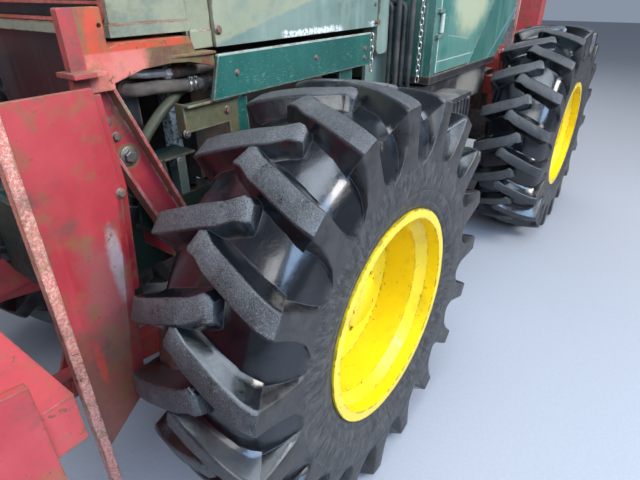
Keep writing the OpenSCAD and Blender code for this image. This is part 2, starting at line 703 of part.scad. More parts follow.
// Channel brace from the guard's beam down to the frame
module brace_channels() color("firebrick") both_sides() {
  top = [beam_end_x - 7, beam_z];
  foot = [top[0] - channel_lean, rail_z + 110];
  d = top - foot;
  web_y = beam_y - 15 - channel_d;
  intersection() {
    translate([foot[0], web_y, foot[1]]) rotate([0, -atan2(d[1], d[0]), 0]) difference() {
      block([-200, 0, -channel_w / 2], [norm(d) + 200, channel_d, channel_w / 2]);
      block([-201, channel_t, -channel_w / 2 + channel_t], [norm(d) + 201, channel_d + 1, channel_w / 2 - channel_t]);
    }
    block([foot[0] - 300, web_y - 1, foot[1] + 5], [top[0] + 300, beam_y, beam_z - seat_gap]);
  }
  block([foot[0] - 62, rail_y + seat_gap, foot[1]], [foot[0] + 78, beam_y - 5, foot[1] + 62]);
}

// Front blade

module blade() color("firebrick") {
  // Curved mouldboard: an arc between the lower and the upper edge, seen from the side
  bow = 130;
  chord = blade_h;
  r = (chord * chord / 4 + bow * bow) / (2 * bow);
  arc_x = blade_front_x - 20 + r - bow;
  half = blade_w / 2;
  intersection() {
    y_tube(arc_x, blade_low_z + blade_h / 2, r, blade_t, half);
    block([blade_back_x, -half, blade_low_z], [blade_front_x, half, blade_top_z]);
  }
  both_sides() side_plate(half - blade_t, half) polygon([[blade_plate_x, blade_low_z + 130], [blade_plate_x, blade_top_z - 20],
    [blade_front_x - 30, blade_top_z], [blade_front_x - 150, blade_low_z + blade_h / 2], [blade_front_x - 30, blade_low_z]]);
  // Stiffening beam and ribs behind the mouldboard
  for (z = [blade_low_z + 90, blade_top_z - 190]) block([blade_back_x + 40, -half + blade_t - 1, z], [blade_front_x - 130, half - blade_t + 1, z + 100]);
  for (y = [-0.62, -0.2, 0.2, 0.62]) side_plate(y * half - 8, y * half + 8) polygon([[blade_back_x + 20, blade_low_z + 90],
    [blade_back_x + 20, blade_top_z - 90], [blade_front_x - 120, blade_top_z - 90], [blade_front_x - 130, blade_low_z + 90]]);
}

// A thin tube along Y, of outer radius r and wall t
module y_tube(x, z, r, t, half) {
  difference() {
    translate([x, half, z]) rotate([90, 0, 0]) cylinder(r = r, h = 2 * half, $fn = 192);
    translate([x, half + 1, z]) rotate([90, 0, 0]) cylinder(r = r - t, h = 2 * half + 2, $fn = 192);
  }
}

module blade_arms() color("firebrick") both_sides() {
  tip = [blade_back_x + 40 - seat_gap, blade_low_z + 130];
  difference() {
    side_plate(arm_y - arm_t / 2, arm_y + arm_t / 2) {
      translate([arm_pivot_x, arm_pivot_z]) circle(75);
      polygon([[arm_pivot_x, arm_pivot_z - 75], [arm_pivot_x, arm_pivot_z + 75], [blade_eye[0] - 90, blade_eye[1] - 75],
        [tip[0], blade_eye[1] - 55], [tip[0], tip[1] - 80], [blade_eye[0], tip[1] - 80]]);
    }
    y_bar(arm_pivot_x, arm_pivot_z, 35 + pin_gap, arm_y - arm_t, arm_y + arm_t);
  }
  // Clevis cheeks of the cylinder's eye
  for (y = cheeks(arm_y, lift_eye_w)) side_plate(y, y + cheek_t)
    polygon([[blade_eye[0] - 120, blade_eye[1] - 110], [blade_eye[0] + 120, blade_eye[1] - 110],
      [blade_eye[0] + 45, blade_eye[1] + 50], [blade_eye[0] - 45, blade_eye[1] + 50]]);
  block([blade_eye[0] - 110, arm_y - 49, blade_eye[1] - 110], [blade_eye[0] + 110, arm_y + 49, blade_eye[1] - 80]);
}

module blade_barrels() color("black") both_sides() translate([0, arm_y, 0])
  aim_xz(blade_pin, blade_eye, blade_pin) barrel(blade_barrel_len, lift_barrel_r, lift_rod_r, lift_rod_r - 4, lift_eye_w);

module blade_rods() color("silver") both_sides() translate([0, arm_y, 0])
  aim_xz(blade_pin, blade_eye, blade_eye) rod(blade_rod_len, lift_rod_r, 45, lift_eye_w);

// Steering cylinders

module steer_barrel(side) {
  a = [steer_pin[0], side * steer_pin[1]];
  b = [steer_eye[0], side * steer_eye[1]];
  aim_xy(a, b, a, steer_z) barrel(steer_barrel_len, steer_barrel_r, steer_rod_r, steer_rod_r - 4, steer_eye_w);
}

module steer_rod(side) {
  a = [steer_pin[0], side * steer_pin[1]];
  b = [steer_eye[0], side * steer_eye[1]];
  aim_xy(a, b, b, steer_z) rod(steer_rod_len, steer_rod_r, 38, steer_eye_w);
}

module steer_barrel_left() color("black") steer_barrel(1);

module steer_barrel_right() color("black") steer_barrel(-1);

module steer_rod_left() color("silver") steer_rod(1);

module steer_rod_right() color("silver") steer_rod(-1);

// Cab

// Outline of the cab's side, in the XZ plane, with its slanted lower rear corner
module cab_side_outline(inset) {
  polygon([[cab_x - inset, cab_floor_z + floor_t], [cab_x - inset, cab_top_z], [cab_back_x + inset, cab_top_z],
    [cab_back_x + inset, cab_floor_z + floor_t + cab_slant_h], [cab_back_x + cab_slant, cab_floor_z + floor_t]]);
}

// Outline of the door, grown by a gap on every side
module door_outline(gap) {
  low = door_low_z - gap;
  slant_x = door_back_x + 420;
  polygon([[door_front_x + gap, low], [door_front_x + gap, door_top_z + gap], [door_back_x - gap, door_top_z + gap],
    [door_back_x - gap, low + slant_x - door_back_x + gap * 0.6], [slant_x - gap * 0.6, low]]);
}

module door_window(inset) {
  rounded([door_back_x + 70 + inset, door_low_z + 420 + inset], [door_front_x - 70 - inset, door_top_z - 70 - inset], 50 - inset / 2);
}

// Outline of the window behind the door
module side_window(gap) {
  rounded([cab_back_x + 80 + gap, door_low_z + 420 + gap], [door_back_x - 70 - gap, door_top_z - 70 - gap], 50 - gap);
}

module cab_floor() color("dimgray") flat_plate(cab_floor_z, cab_floor_z + floor_t - seat_gap)
  polygon([[cab_x, -cab_y], [cab_x, cab_y], [cab_back_x + cab_slant, cab_y], [cab_back_x + cab_slant, -cab_y]]);

module cab_sides() color("darkgreen") both_sides() {
  side_plate(cab_y - wall_t, cab_y) difference() {
    cab_side_outline(0);
    door_outline(panel_gap);
    side_window(0);
  }
  // Hinge ears and pins of the door
  for (z = door_hinges) {
    for (low = [z - 22, z + 96]) flat_plate(low, low + 16) {
      translate(door_pin) circle(8);
      polygon([[door_pin[0], door_pin[1] - 8], [door_pin[0], door_pin[1] + 8], [door_pin[0] + 45, door_pin[1] + 8],
        [door_pin[0] + 45, cab_y - 1], [door_front_x + 12, cab_y - 1], [door_front_x + 12, door_pin[1] - 8]]);
    }
    z_bar(door_pin[0], door_pin[1], hinge_pin_r, z - 22, z + 112);
  }
}

module cab_front() color("darkgreen") {
  difference() {
    block([cab_x - wall_t, -cab_y + wall_t + seat_gap, cab_floor_z + floor_t], [cab_x, cab_y - wall_t - seat_gap, cab_top_z]);
    cross_plate(cab_x - wall_t - 1, cab_x + 1) rounded([-cab_y + 110, hood_top_z + 30], [cab_y - 110, cab_top_z - 60], 50);
  }
  // Peg that carries the long chain
  x_bar(cab_peg[1], cab_peg[2], peg_r, cab_x - 1, cab_peg[0] + 12);
}

module cab_rear() color("darkgreen") {
  y = cab_y - wall_t - seat_gap;
  low = cab_floor_z + floor_t;
  difference() {
    side_plate(-y, y) polygon([[cab_back_x, low + cab_slant_h], [cab_back_x, cab_top_z], [cab_back_x + wall_t, cab_top_z],
      [cab_back_x + wall_t, low + cab_slant_h + 24], [cab_back_x + cab_slant + 70, low], [cab_back_x + cab_slant, low]]);
    cross_plate(cab_back_x - 1, cab_back_x + wall_t + 1) rounded([-y + 70, rear_sill_z], [y - 70, cab_top_z - 60], 50);
  }
}

module cab_roof() color("darkgreen") {
  difference() {
    block([cab_back_x - roof_lip, -cab_y - roof_lip, cab_top_z + seat_gap], [cab_x + roof_lip + 60, cab_y + roof_lip, cab_top_z + roof_t]);
    for (side = [-1, 1]) translate([0, side * (cab_y + roof_lip), cab_top_z + roof_t]) rotate([45, 0, 0])
      cube([4 * cab_len + 4 * abs(cab_x), 70, 70], center = true);
  }
}

module cab_glass() color("lightblue") {
  g = 6;
  gap = 2 * seat_gap;
  cross_plate(cab_x - wall_t / 2 - g / 2, cab_x - wall_t / 2 + g / 2)
    rounded([-cab_y + 110 + gap, hood_top_z + 30 + gap], [cab_y - 110 - gap, cab_top_z - 60 - gap], 50);
  y = cab_y - wall_t - seat_gap;
  cross_plate(cab_back_x + wall_t / 2 - g / 2, cab_back_x + wall_t / 2 + g / 2)
    rounded([-y + 70 + gap, rear_sill_z + gap], [y - 70 - gap, cab_top_z - 60 - gap], 50);
  both_sides() side_plate(cab_y - wall_t / 2 - g / 2, cab_y - wall_t / 2 + g / 2) side_window(seat_gap);
}

module door() {
  side_plate(cab_y - wall_t, cab_y) difference() {
    door_outline(0);
    door_window(0);
  }
  // Hinge knuckles and handle
  for (z = door_hinges) difference() {
    union() {
      z_bar(door_pin[0], door_pin[1], 11, z, z + 90);
      block([door_front_x - 60, cab_y - 1, z + 20], [door_pin[0], door_pin[1], z + 70]);
    }
    z_bar(door_pin[0], door_pin[1], hinge_pin_r + pin_gap, z - 1, z + 91);
  }
  block([door_back_x + 40, cab_y - 1, door_low_z + 460], [door_back_x + 62, cab_y + 40, door_low_z + 600]);
}

module door_glass() side_plate(cab_y - wall_t / 2 - 3, cab_y - wall_t / 2 + 3) door_window(seat_gap);

module door_left() color("seagreen") door();

module door_right() color("seagreen") mirror([0, 1, 0]) door();

module door_glass_left() color("lightblue") door_glass();

module door_glass_right() color("lightblue") mirror([0, 1, 0]) door_glass();

module seat_base() color("black") {
  x = seat_x;
  z = cab_floor_z + floor_t;
  block([x + 60, -190, z], [x + 380, 190, z + 90]);
  block([x + 60, -140, z + 90], [x + 320, 140, z + 330]);
}

module seat_cushions() color("dimgray") {
  x = seat_x;
  z = cab_floor_z + floor_t + 330 + seat_gap;
  block([x + 20, -250, z], [x + 440, 250, z + 110]);
  side_plate(-240, 240) polygon([[x - 20, z + 110 + seat_gap], [x + 100, z + 110 + seat_gap], [x + 20, z + 600], [x - 80, z + 600]]);
}

module steering_console() color("black") {
  x = cab_x - wall_t - seat_gap;
  z = cab_floor_z + floor_t;
  side_plate(-190, 190) polygon([[x, z], [x, z + 560], [x - 100, z + 600], [x - 160, z + 540], [x - 130, z]]);
  translate([x - 120, 0, z + 560]) rotate([0, -30, 0]) {
    translate([0, 0, -60]) cylinder(r = 22, h = 200);
    translate([0, 0, 140]) {
      rotate_extrude() translate([190, 0]) circle(14, $fn = 24);
      cylinder(r = 50, h = 20, center = true);
      for (a = [0, 120, 240]) rotate([0, 0, a]) block([0, -12, -6], [190, 12, 6]);
    }
  }
}

// Outside the cab

module steps() color("black") both_sides() {
  top = box_z[0] - seat_gap;
  for (x = [box_x[0], box_x[1] - 20]) block([x, cab_y - 40, step_z - 20], [x + 20, cab_y + 10, top]);
  for (x = [box_x[0], box_x[1] - 20]) block([x, cab_y - 40, step_z - 20], [x + 20, cab_y + 110, step_z + 40]);
  for (z = [step_z, step_z + 290]) block([box_x[0] + 10, cab_y - 40, z], [box_x[1] - 10, cab_y + 110, z + 30]);
}

module side_tanks() color("black") both_sides() {
  front = cab_x - seat_gap;
  back = cab_back_x + cab_slant + 20;
  top = cab_floor_z - 20;
  // Tank under the cab's floor, clear of the rear frame's swing
  side_plate(rail_y + seat_gap, cab_y - 45) polygon([[front, rail_top - 140], [front, top], [back, top], [back, top - 90],
    [back + 90, rail_top + 40], [cab_x - 70, rail_top + 40], [cab_x - 70, rail_top - 140]]);
  // Ribbed box above the steps
  block([box_x[0], cab_y - 70, box_z[0]], [box_x[1], box_y, box_z[1]]);
  for (x = [box_x[0] + 30:50:box_x[1] - 30]) block([x, box_y - eps, box_z[0] + 25], [x + 18, box_y + 7, box_z[1] - 25]);
}

module exhaust() color("dimgray") {
  x = hood_back_x - panel_gap - 78;
  y = -hood_y + 160;
  z_bar(x, y, 62, hood_top_z + seat_gap, hood_top_z + 30);
  z_bar(x, y, 32, hood_top_z + 20, hood_top_z + 760);
  z_bar(x, y, 78, hood_top_z + 90, hood_top_z + 560);
}

// Points of a smooth route through hand-picked points, n steps between neighbours
function smooth(p, n) = let(m = len(p) - 1) [for (i = [0:m - 1]) for (k = [0:n - (i == m - 1 ? 0 : 1)]) let(t = k / n,
    a = p[max(i - 1, 0)], b = p[i], c = p[i + 1], d = p[min(i + 2, m)])
  0.5 * (2 * b + (c - a) * t + (2 * a - 5 * b + 4 * c - d) * t * t + (3 * b - a - 3 * c + d) * t * t * t)];

// A round hose along a route that is nowhere upright, as rings of a few sides
module hose(route, r, steps, sides = 8) {
  p = smooth(route, steps);
  last = len(p) - 1;
  rings = [for (i = [0:last]) let(t = p[min(i + 1, last)] - p[max(i - 1, 0)], along = t / norm(t),
    side = cross(along, [0, 0, 1]), u = side / norm(side), v = cross(along, u))
    for (k = [0:sides - 1]) p[i] + r * (u * cos(k * 360 / sides) + v * sin(k * 360 / sides))];
  walls = [for (i = [0:last - 1]) for (k = [0:sides - 1]) let(n = (k + 1) % sides)
    [i * sides + k, (i + 1) * sides + k, (i + 1) * sides + n, i * sides + n]];
  polyhedron(rings, concat([[for (k = [0:sides - 1]) k]], walls, [[for (k = [sides - 1:-1:0]) last * sides + k]]));
}

module hoses() color("black") {
  side = core_y + seat_gap;
  block_side = engine_w / 2 + seat_gap;
  // Lower, upper and diagonal hose between the radiator's side and the engine's side
  hose([[core_x + 40, side + 2, 1580], [core_x + 40, 402, 1580], [core_x + 35, 420, 1580], [core_x + 21, 432, 1581],
    [core_x - 4, 437, 1581], [1700, 439, 1580], [1600, 441, 1572], [1519, 445, 1566], [1440, 443, 1562], [1350, 420, 1558],
    [1290, 370, 1555], [1280, 310, 1555], [1280, block_side + 2, 1555]], 21, 1, 12);
  hose([[core_x + 20, side + 2, 1625], [core_x + 20, 402, 1625], [core_x + 15, 420, 1625], [core_x + 1, 432, 1624],
    [core_x - 24, 438, 1622], [1616, 446, 1616], [1540, 446, 1614], [1470, 442, 1612], [1390, 412, 1610], [1335, 355, 1608],
    [1320, 300, 1606], [1320, block_side + 2, 1606]], 15, 1, 10);
  hose([[core_x + 55, side + 2, 1400], [core_x + 55, 402, 1400], [core_x + 51, 418, 1405], [core_x + 38, 427, 1419],
    [1757, 430, 1450], [1700, 428, 1497], [1641, 420, 1528], [1600, 398, 1541], [1540, 371, 1549], [1470, 342, 1552],
    [1420, 312, 1552], [1402, 285, 1552], [1402, block_side + 2, 1552]], 18, 1, 10);
  // Stubs on the radiator and the engine, columns: x, z, radius
  for (s = [[core_x + 40, 1580, 26], [core_x + 20, 1625, 18], [core_x + 55, 1400, 22]]) y_bar(s[0], s[1], s[2], side, side + 14);
  for (s = [[1280, 1555, 26], [1320, 1606, 19], [1402, 1552, 22]]) y_bar(s[0], s[1], s[2], block_side, block_side + 20);
  // Clamps and coupling of the lower hose, ferrule of the upper one
  for (x = [1558, 1580]) x_bar(442, 1570, 24, x, x + 11);
  x_bar(445, 1566, 27, 1498, 1532);
  x_bar(446, 1616, 20, 1600, 1655);
  // Bundle that drops from the rear cowl to the valve block, columns: distance behind the hood, y, height of its start
  for (s = [[135, 506, 1780], [135, 546, 1830], [177, 560, 1780], [177, 600, 1830]]) let(x = hood_back_x - s[0]) {
    y_bar(x, s[2], 15, rear_cowl_y + 15, s[1] - 24);
    y_bar(x, s[2], 20, rear_cowl_y + seat_gap, rear_cowl_y + 30);
    translate([x, s[1] - 30, s[2] - 30]) rotate([90, 0, 90]) rotate_extrude(angle = 90) translate([30, 0]) circle(16);
    z_bar(x, s[1], 15, valve_z + 20, s[2] - 24);
    z_bar(x, s[1], 19, valve_z + seat_gap, valve_z + 60);
  }
}

// A chain of upright links, hung on a peg that runs along X
module chain(peg, links) {
  top = peg[2] + peg_r + seat_gap - link_pitch / 2;
  for (i = [0:links - 1]) translate([peg[0], peg[1], top - i * (link_pitch - seat_gap)]) rotate([0, 0, (i + 1) % 2 * 90]) link();
}

module link() {
  r = link_r;
  bar = link_bar_r;
  straight = link_pitch / 2 - r + bar;
  for (s = [-1, 1]) translate([s * r, 0, -straight]) cylinder(r = bar, h = 2 * straight, $fn = 16);
  for (s = [0, 180]) rotate([0, s, 0]) translate([0, 0, straight]) rotate([90, 0, 0])
    rotate_extrude(angle = 180, $fn = 24) translate([r, 0]) circle(bar, $fn = 16);
}

module chains() color("silver") {
  chain(panel_peg, 6);
  chain(cab_peg, 17);
}

module work_lamps() color("black") {
  for (y = [-560, -300, 300, 560]) {
    translate([cab_x + 70, y, cab_top_z + roof_t + 55]) rotate([0, 90, 0]) cylinder(r = 50, h = 60, center = true);
    block([cab_x + 50, y - 10, cab_top_z + roof_t + seat_gap], [cab_x + 90, y + 10, cab_top_z + roof_t + 30]);
  }
  for (y = [-500, 500]) {
    translate([cab_back_x + 20, y, cab_top_z + roof_t + 55]) rotate([0, 90, 0]) cylinder(r = 50, h = 60, center = true);
    block([cab_back_x, y - 10, cab_top_z + roof_t + seat_gap], [cab_back_x + 40, y + 10, cab_top_z + roof_t + 30]);
  }
}

module drive_line() color("dimgray") {
  block([front_x - 900, -150, shaft_z - 130], [front_x - 560, 150, rail_top - 20]);
  // Cross bracket between the rails
  block([front_x - 760, -rail_y + rail_t + seat_gap, rail_top - 130], [front_x - 690, rail_y - rail_t - seat_gap, rail_top - 60]);
  x_bar(0, shaft_z, shaft_r, pivot_x + 40, front_x - 890);
  x_bar(0, shaft_z, shaft_r, front_x - 570, front_x - pinion_len - seat_gap);
  translate([pivot_x, 0, shaft_z]) sphere(shaft_r + 20);
}

// Rear frame

module rear_frame() color("darkgreen") {
  head_x = pivot_x - 260;
  end_x = rear_x - 700;
  both_sides() {
    side_plate(rear_rail_y - rail_t, rear_rail_y) polygon([[head_x, joint_low_z - 60], [head_x, rear_top], [end_x, rear_top],
      [end_x, 560], [butt_pivot[0] + 140, 560], [butt_pivot[0] + 140, rail_z], [head_x - 420, rail_z], [head_x - 220, joint_low_z - 60]]);
    side_plate(rear_rail_y - rail_t / 2, butt_arm_y - 30 - panel_gap) rounded([butt_pivot[0] - 90, butt_pivot[1] - 90], [butt_pivot[0] + 90, butt_pivot[1] + 90], 60);
    y_bar(butt_pivot[0], butt_pivot[1], 35, rear_rail_y - rail_t / 2, butt_arm_y + 44);
    // Plates of the steering cylinder's eye
    for (z = [steer_z - steer_eye_w / 2 - eye_gap - 16, steer_z + steer_eye_w / 2 + eye_gap]) flat_plate(z, z + 16)
      polygon([[head_x - 10, 110], [steer_eye[0] + 30, steer_eye[1] - 50], [steer_eye[0] + 50, steer_eye[1] + 30],
        [steer_eye[0] - 20, steer_eye[1] + 60], [head_x - 10, steer_eye[1] + 60]]);
  }
  difference() {
    block([head_x - 30, -rear_rail_y, joint_low_z - 60], [head_x, rear_rail_y, rear_top]);
    x_bar(0, shaft_z, 75, head_x - 31, head_x + 1);
  }
  for (x = [rear_x + 330, rear_x - 300, end_x]) block([x, -rear_rail_y + rail_t, rail_z], [x + 30, rear_rail_y - rail_t, rear_top]);
  block([end_x, -rear_rail_y, rear_top - 20], [head_x - 200, rear_rail_y, rear_top]);
  // Articulation lugs
  for (z = [joint_low_z + 10 + panel_gap, joint_high_z - 10 - 40 - panel_gap]) difference() {
    flat_plate(z, z + 40) {
      translate([pivot_x, 0]) circle(95);
      polygon([[pivot_x, -95], [pivot_x, 95], [head_x, 180], [head_x, -180]]);
    }
    z_bar(pivot_x, 0, joint_pin_r + pin_gap, z - 1, z + 41);
  }
}

// Side plate of the winch, cut down at the front to clear the cab
module winch_plate() {
  polygon([[drum_x - 290, rear_top + seat_gap], [drum_x + 290, rear_top + seat_gap], [drum_x + 290, drum_z + 20],
    [drum_x + 120, drum_z + 240], [drum_x - 180, drum_z + 240], [drum_x - 290, drum_z + 120]]);
}

module winch() color("dimgray") {
  inner = drum_w + 30;
  for (y = [-inner - 20, -10, inner]) difference() {
    side_plate(y, y + 20) winch_plate();
    y_bar(drum_x, drum_z, 45 + pin_gap, y - 1, y + 21);
  }
  block([drum_x - 290, -inner - 20, rear_top + seat_gap], [drum_x + 290, inner + 20, rear_top + 20]);
  block([drum_x + 250, -inner - 20, rear_top + 20 - eps], [drum_x + 290, inner + 20, drum_z + 15]);
  y_bar(drum_x, drum_z, 105, inner + 20 - eps, inner + 110);
  y_bar(drum_x, drum_z, 105, -inner - 110, -inner - 20 + eps);
}

module drum() {
  edge = drum_w / 2;
  y_bar(0, 0, drum_r, -edge, edge);
  for (y = [-edge, edge - 14]) y_bar(0, 0, drum_flange_r, y, y + 14);
  y_bar(0, 0, 45, -edge - 15, edge + 15);
}

module winch_drum_left() color("gray") translate([drum_x, drum_w / 2 + 20, drum_z]) drum();

module winch_drum_right() color("gray") translate([drum_x, -drum_w / 2 - 20, drum_z]) drum();

module arch() color("firebrick") {
  outer = arch_span / 2;
  lean = 90;
  both_sides() {
    side_plate(outer - arch_leg, outer) polygon([[arch_x - 70, rear_top - 200], [arch_x + 90, rear_top - 200],
      [arch_x + 70 - lean, arch_z], [arch_x - 60 - lean, arch_z]]);
    block([arch_x - 70, rear_rail_y + seat_gap, rear_top - 200], [arch_x + 90, outer, rear_top - 40]);
    // Clevis of the butt plate's cylinder
    for (y = cheeks(butt_arm_y, lift_eye_w)) side_plate(y, y + cheek_t) translate(butt_pin) circle(50);
    for (y = cheeks(butt_arm_y, lift_eye_w)) side_plate(y, y + cheek_t)
      polygon([[arch_x + 60, rear_top - 100], [arch_x + 60, rear_top + 160], [butt_pin[0], butt_pin[1] + 50], [butt_pin[0], butt_pin[1] - 50],
        [butt_pin[0] + 38, butt_pin[1] - 75], [arch_x - 45, rear_top - 100]]);
    y_bar(butt_pin[0], butt_pin[1], lift_rod_r - 4, butt_arm_y - 60, butt_arm_y + 60);
  }
  block([arch_x - 60 - lean, -outer, arch_z - 130], [arch_x + 70 - lean, outer, arch_z]);
  // Lifting eyes on both ends of the cross beam
  both_sides() difference() {
    side_plate(eye_y - 12.5, eye_y + 12.5) rounded([eye_x - 55, arch_z - 20], [eye_x + 55, arch_z + 105], 40);
    y_bar(eye_x, arch_z + 50, 22, eye_y - 14, eye_y + 14);
  }
  difference() {
    for (y = [-230, 200]) side_plate(y, y + 30) polygon([[arch_x - 60 - lean, arch_z - 130], [arch_x + 70 - lean, arch_z - 130],
      [arch_x + 20 - lean, arch_z - 330], [arch_x - 130 - lean, arch_z - 330], [arch_x - 150 - lean, arch_z - 230]]);
    y_bar(arch_x - 60 - lean, arch_z - 265, 20 + pin_gap, -231, 231);
  }
}

module fairlead_roller() color("gray") {
  x = arch_x - 60 - 90;
  z = arch_z - 265;
  y_bar(x, z, 50, -200 + panel_gap, 200 - panel_gap);
  y_bar(x, z, 20, -228, 228);
}

module arch_mesh() color("salmon") {
  half = arch_span / 2 - arch_leg - seat_gap;
  x = arch_x + 40;
  low = rear_top + 170;
  top = drum_z + 330;
  for (y = [-half, half - 20]) block([x, y, low], [x + 20, y + 20, top]);
  for (z = [low, top - 20]) block([x, -half, z], [x + 20, half, z + 20]);
  bars = 16;
  for (i = [1:bars - 1]) block([x + 6, -half + i * 2 * half / bars - 4, low + 10], [x + 14, -half + i * 2 * half / bars + 4, top - 10]);
  rows = 8;
  for (i = [1:rows - 1]) block([x + 6, -half + 10, low + i * (top - low) / rows - 4], [x + 14, half - 10, low + i * (top - low) / rows + 4]);
}

// Butt plate

module butt_plate() color("firebrick") {
  half = butt_w / 2;
  top = butt_low_z + butt_h;
  side_plate(-half, half) polygon([[butt_face_x, butt_low_z + 90], [butt_face_x, top - 120], [butt_back_x + 60, top],
    [butt_back_x + 40, top], [butt_face_x - 20, top - 130], [butt_face_x - 20, butt_low_z + 90], [butt_back_x, butt_low_z], [butt_back_x + 20, butt_low_z]]);
  for (y = [-0.8, -0.41, 0.41, 0.8]) side_plate(y * half - 8, y * half + 8) polygon([[butt_face_x - 20, butt_low_z + 110],
    [butt_face_x - 20, top - 140], [butt_back_x + 50, top - 30], [butt_back_x + 10, butt_low_z + 20]]);
  both_sides() difference() {
    side_plate(butt_arm_y - 30, butt_arm_y + 30) {
      translate(butt_pivot) circle(75);
      polygon([[butt_pivot[0], butt_pivot[1] - 75], [butt_pivot[0], butt_pivot[1] + 75], [butt_eye[0] + 80, butt_eye[1] - 75],
        [butt_face_x - 1, butt_eye[1] - 70], [butt_face_x - 1, butt_low_z + 130]]);
    }
    y_bar(butt_pivot[0], butt_pivot[1], 35 + pin_gap, butt_arm_y - 60, butt_arm_y + 60);
  }
  both_sides() for (y = cheeks(butt_arm_y, lift_eye_w)) side_plate(y, y + cheek_t)
    polygon([[butt_eye[0] + 60, butt_eye[1] - 90], [butt_eye[0] + 45, butt_eye[1] + 40], [butt_eye[0] - 45, butt_eye[1] + 40], [butt_face_x - 1, butt_eye[1] - 90]]);
}

module butt_barrels() color("black") both_sides() translate([0, butt_arm_y, 0])
  aim_xz(butt_pin, butt_eye, butt_pin) barrel(butt_barrel_len, lift_barrel_r, lift_rod_r, lift_rod_r - 4, lift_eye_w);

module butt_rods() color("silver") both_sides() translate([0, butt_arm_y, 0])
  aim_xz(butt_pin, butt_eye, butt_eye) rod(butt_rod_len, lift_rod_r, 45, lift_eye_w);

// Wheels in place

module tyre_front_left() color("black") wheel_at(front_x, 1) tyre();

module tyre_front_right() color("black") wheel_at(front_x, -1) tyre();

module tyre_rear_left() color("black") wheel_at(rear_x, 1) tyre();

module tyre_rear_right() color("black") wheel_at(rear_x, -1) tyre();

module rim_front_left() color("gold") wheel_at(front_x, 1) rim();

module rim_front_right() color("gold") wheel_at(front_x, -1) rim();

module rim_rear_left() color("gold") wheel_at(rear_x, 1) rim();

module rim_rear_right() color("gold") wheel_at(rear_x, -1) rim();

front_frame();
front_axle();
engine_block();
radiator();
front_cowl();
grille();
hood();
rear_cowl();
lower_panels();
front_guard();
brace_channels();
blade();
blade_arms();
blade_barrels();
blade_rods();
steer_barrel_left();
steer_barrel_right();
steer_rod_left();
steer_rod_right();
cab_floor();
cab_front();
cab_rear();
cab_sides();
cab_roof();
cab_glass();
door_left();
door_right();
door_glass_left();
door_glass_right();
seat_base();
seat_cushions();
steering_console();
steps();
side_tanks();
exhaust();
hoses();
chains();
work_lamps();
drive_line();
rear_frame();
rear_axle();
winch();
winch_drum_left();
winch_drum_right();
arch();
arch_mesh();
fairlead_roller();
butt_plate();
butt_barrels();
butt_rods();
tyre_front_left();
tyre_front_right();
tyre_rear_left();
tyre_rear_right();
rim_front_left();
rim_front_right();
rim_rear_left();
rim_rear_right();
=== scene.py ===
"""Looks of the forestry skidder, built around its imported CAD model. Metres, +X forward, +Y left, +Z up."""
import json
import math
from collections import namedtuple

import bpy
import numpy as np
from mathutils import Matrix, Vector


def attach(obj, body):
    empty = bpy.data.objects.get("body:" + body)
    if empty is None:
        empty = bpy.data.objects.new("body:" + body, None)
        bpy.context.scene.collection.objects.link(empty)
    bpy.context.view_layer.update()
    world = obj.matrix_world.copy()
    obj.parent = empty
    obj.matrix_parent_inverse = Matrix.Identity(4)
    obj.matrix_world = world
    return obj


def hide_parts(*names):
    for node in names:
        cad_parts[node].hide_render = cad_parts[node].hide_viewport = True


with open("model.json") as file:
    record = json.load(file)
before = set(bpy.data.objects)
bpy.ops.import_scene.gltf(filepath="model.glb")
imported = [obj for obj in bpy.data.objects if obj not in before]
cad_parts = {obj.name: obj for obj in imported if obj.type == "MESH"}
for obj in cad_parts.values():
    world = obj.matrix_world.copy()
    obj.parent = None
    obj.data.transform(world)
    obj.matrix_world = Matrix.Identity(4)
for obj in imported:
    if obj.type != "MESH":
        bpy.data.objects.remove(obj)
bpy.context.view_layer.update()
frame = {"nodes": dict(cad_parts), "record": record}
nodes = frame["nodes"]
scene = bpy.context.scene

# ---------------------------------------------------------------- camera, floor and light

# The camera's own axes and its place, from the fit to the photo
RIGHT = Vector((-0.5902, 0.8072, -0.0069))
UP = Vector((-0.3915, -0.2788, 0.8769))
BACK = Vector((0.7059, 0.5203, 0.4806))
EYE = Vector((2.616, 1.744, 1.854))

cam = bpy.data.objects.new("camera", bpy.data.cameras.new("camera"))
cam.data.lens = 26.0
cam.data.clip_start = 0.02
cam.matrix_world = Matrix([(RIGHT[i], UP[i], BACK[i], EYE[i]) for i in range(3)] + [(0, 0, 0, 1)])
scene.collection.objects.link(cam)
scene.camera = cam


def mesh_object(name, verts, faces, smooth=True):
    """A mesh object from plain lists, linked to the scene."""
    mesh = bpy.data.meshes.new(name)
    mesh.from_pydata([tuple(v) for v in verts], [], faces)
    mesh.update()
    if smooth:
        mesh.shade_smooth()
    obj = bpy.data.objects.new(name, mesh)
    scene.collection.objects.link(obj)
    return obj


def area_light(name, place, target, size, power, color=(1, 1, 1)):
    data = bpy.data.lights.new(name, "AREA")
    data.shape = "RECTANGLE"
    data.size, data.size_y = size
    data.energy = power
    data.color = color
    obj = bpy.data.objects.new(name, data)
    obj.location = place
    obj.rotation_euler = (Vector(target) - Vector(place)).to_track_quat("-Z", "Y").to_euler()
    scene.collection.objects.link(obj)


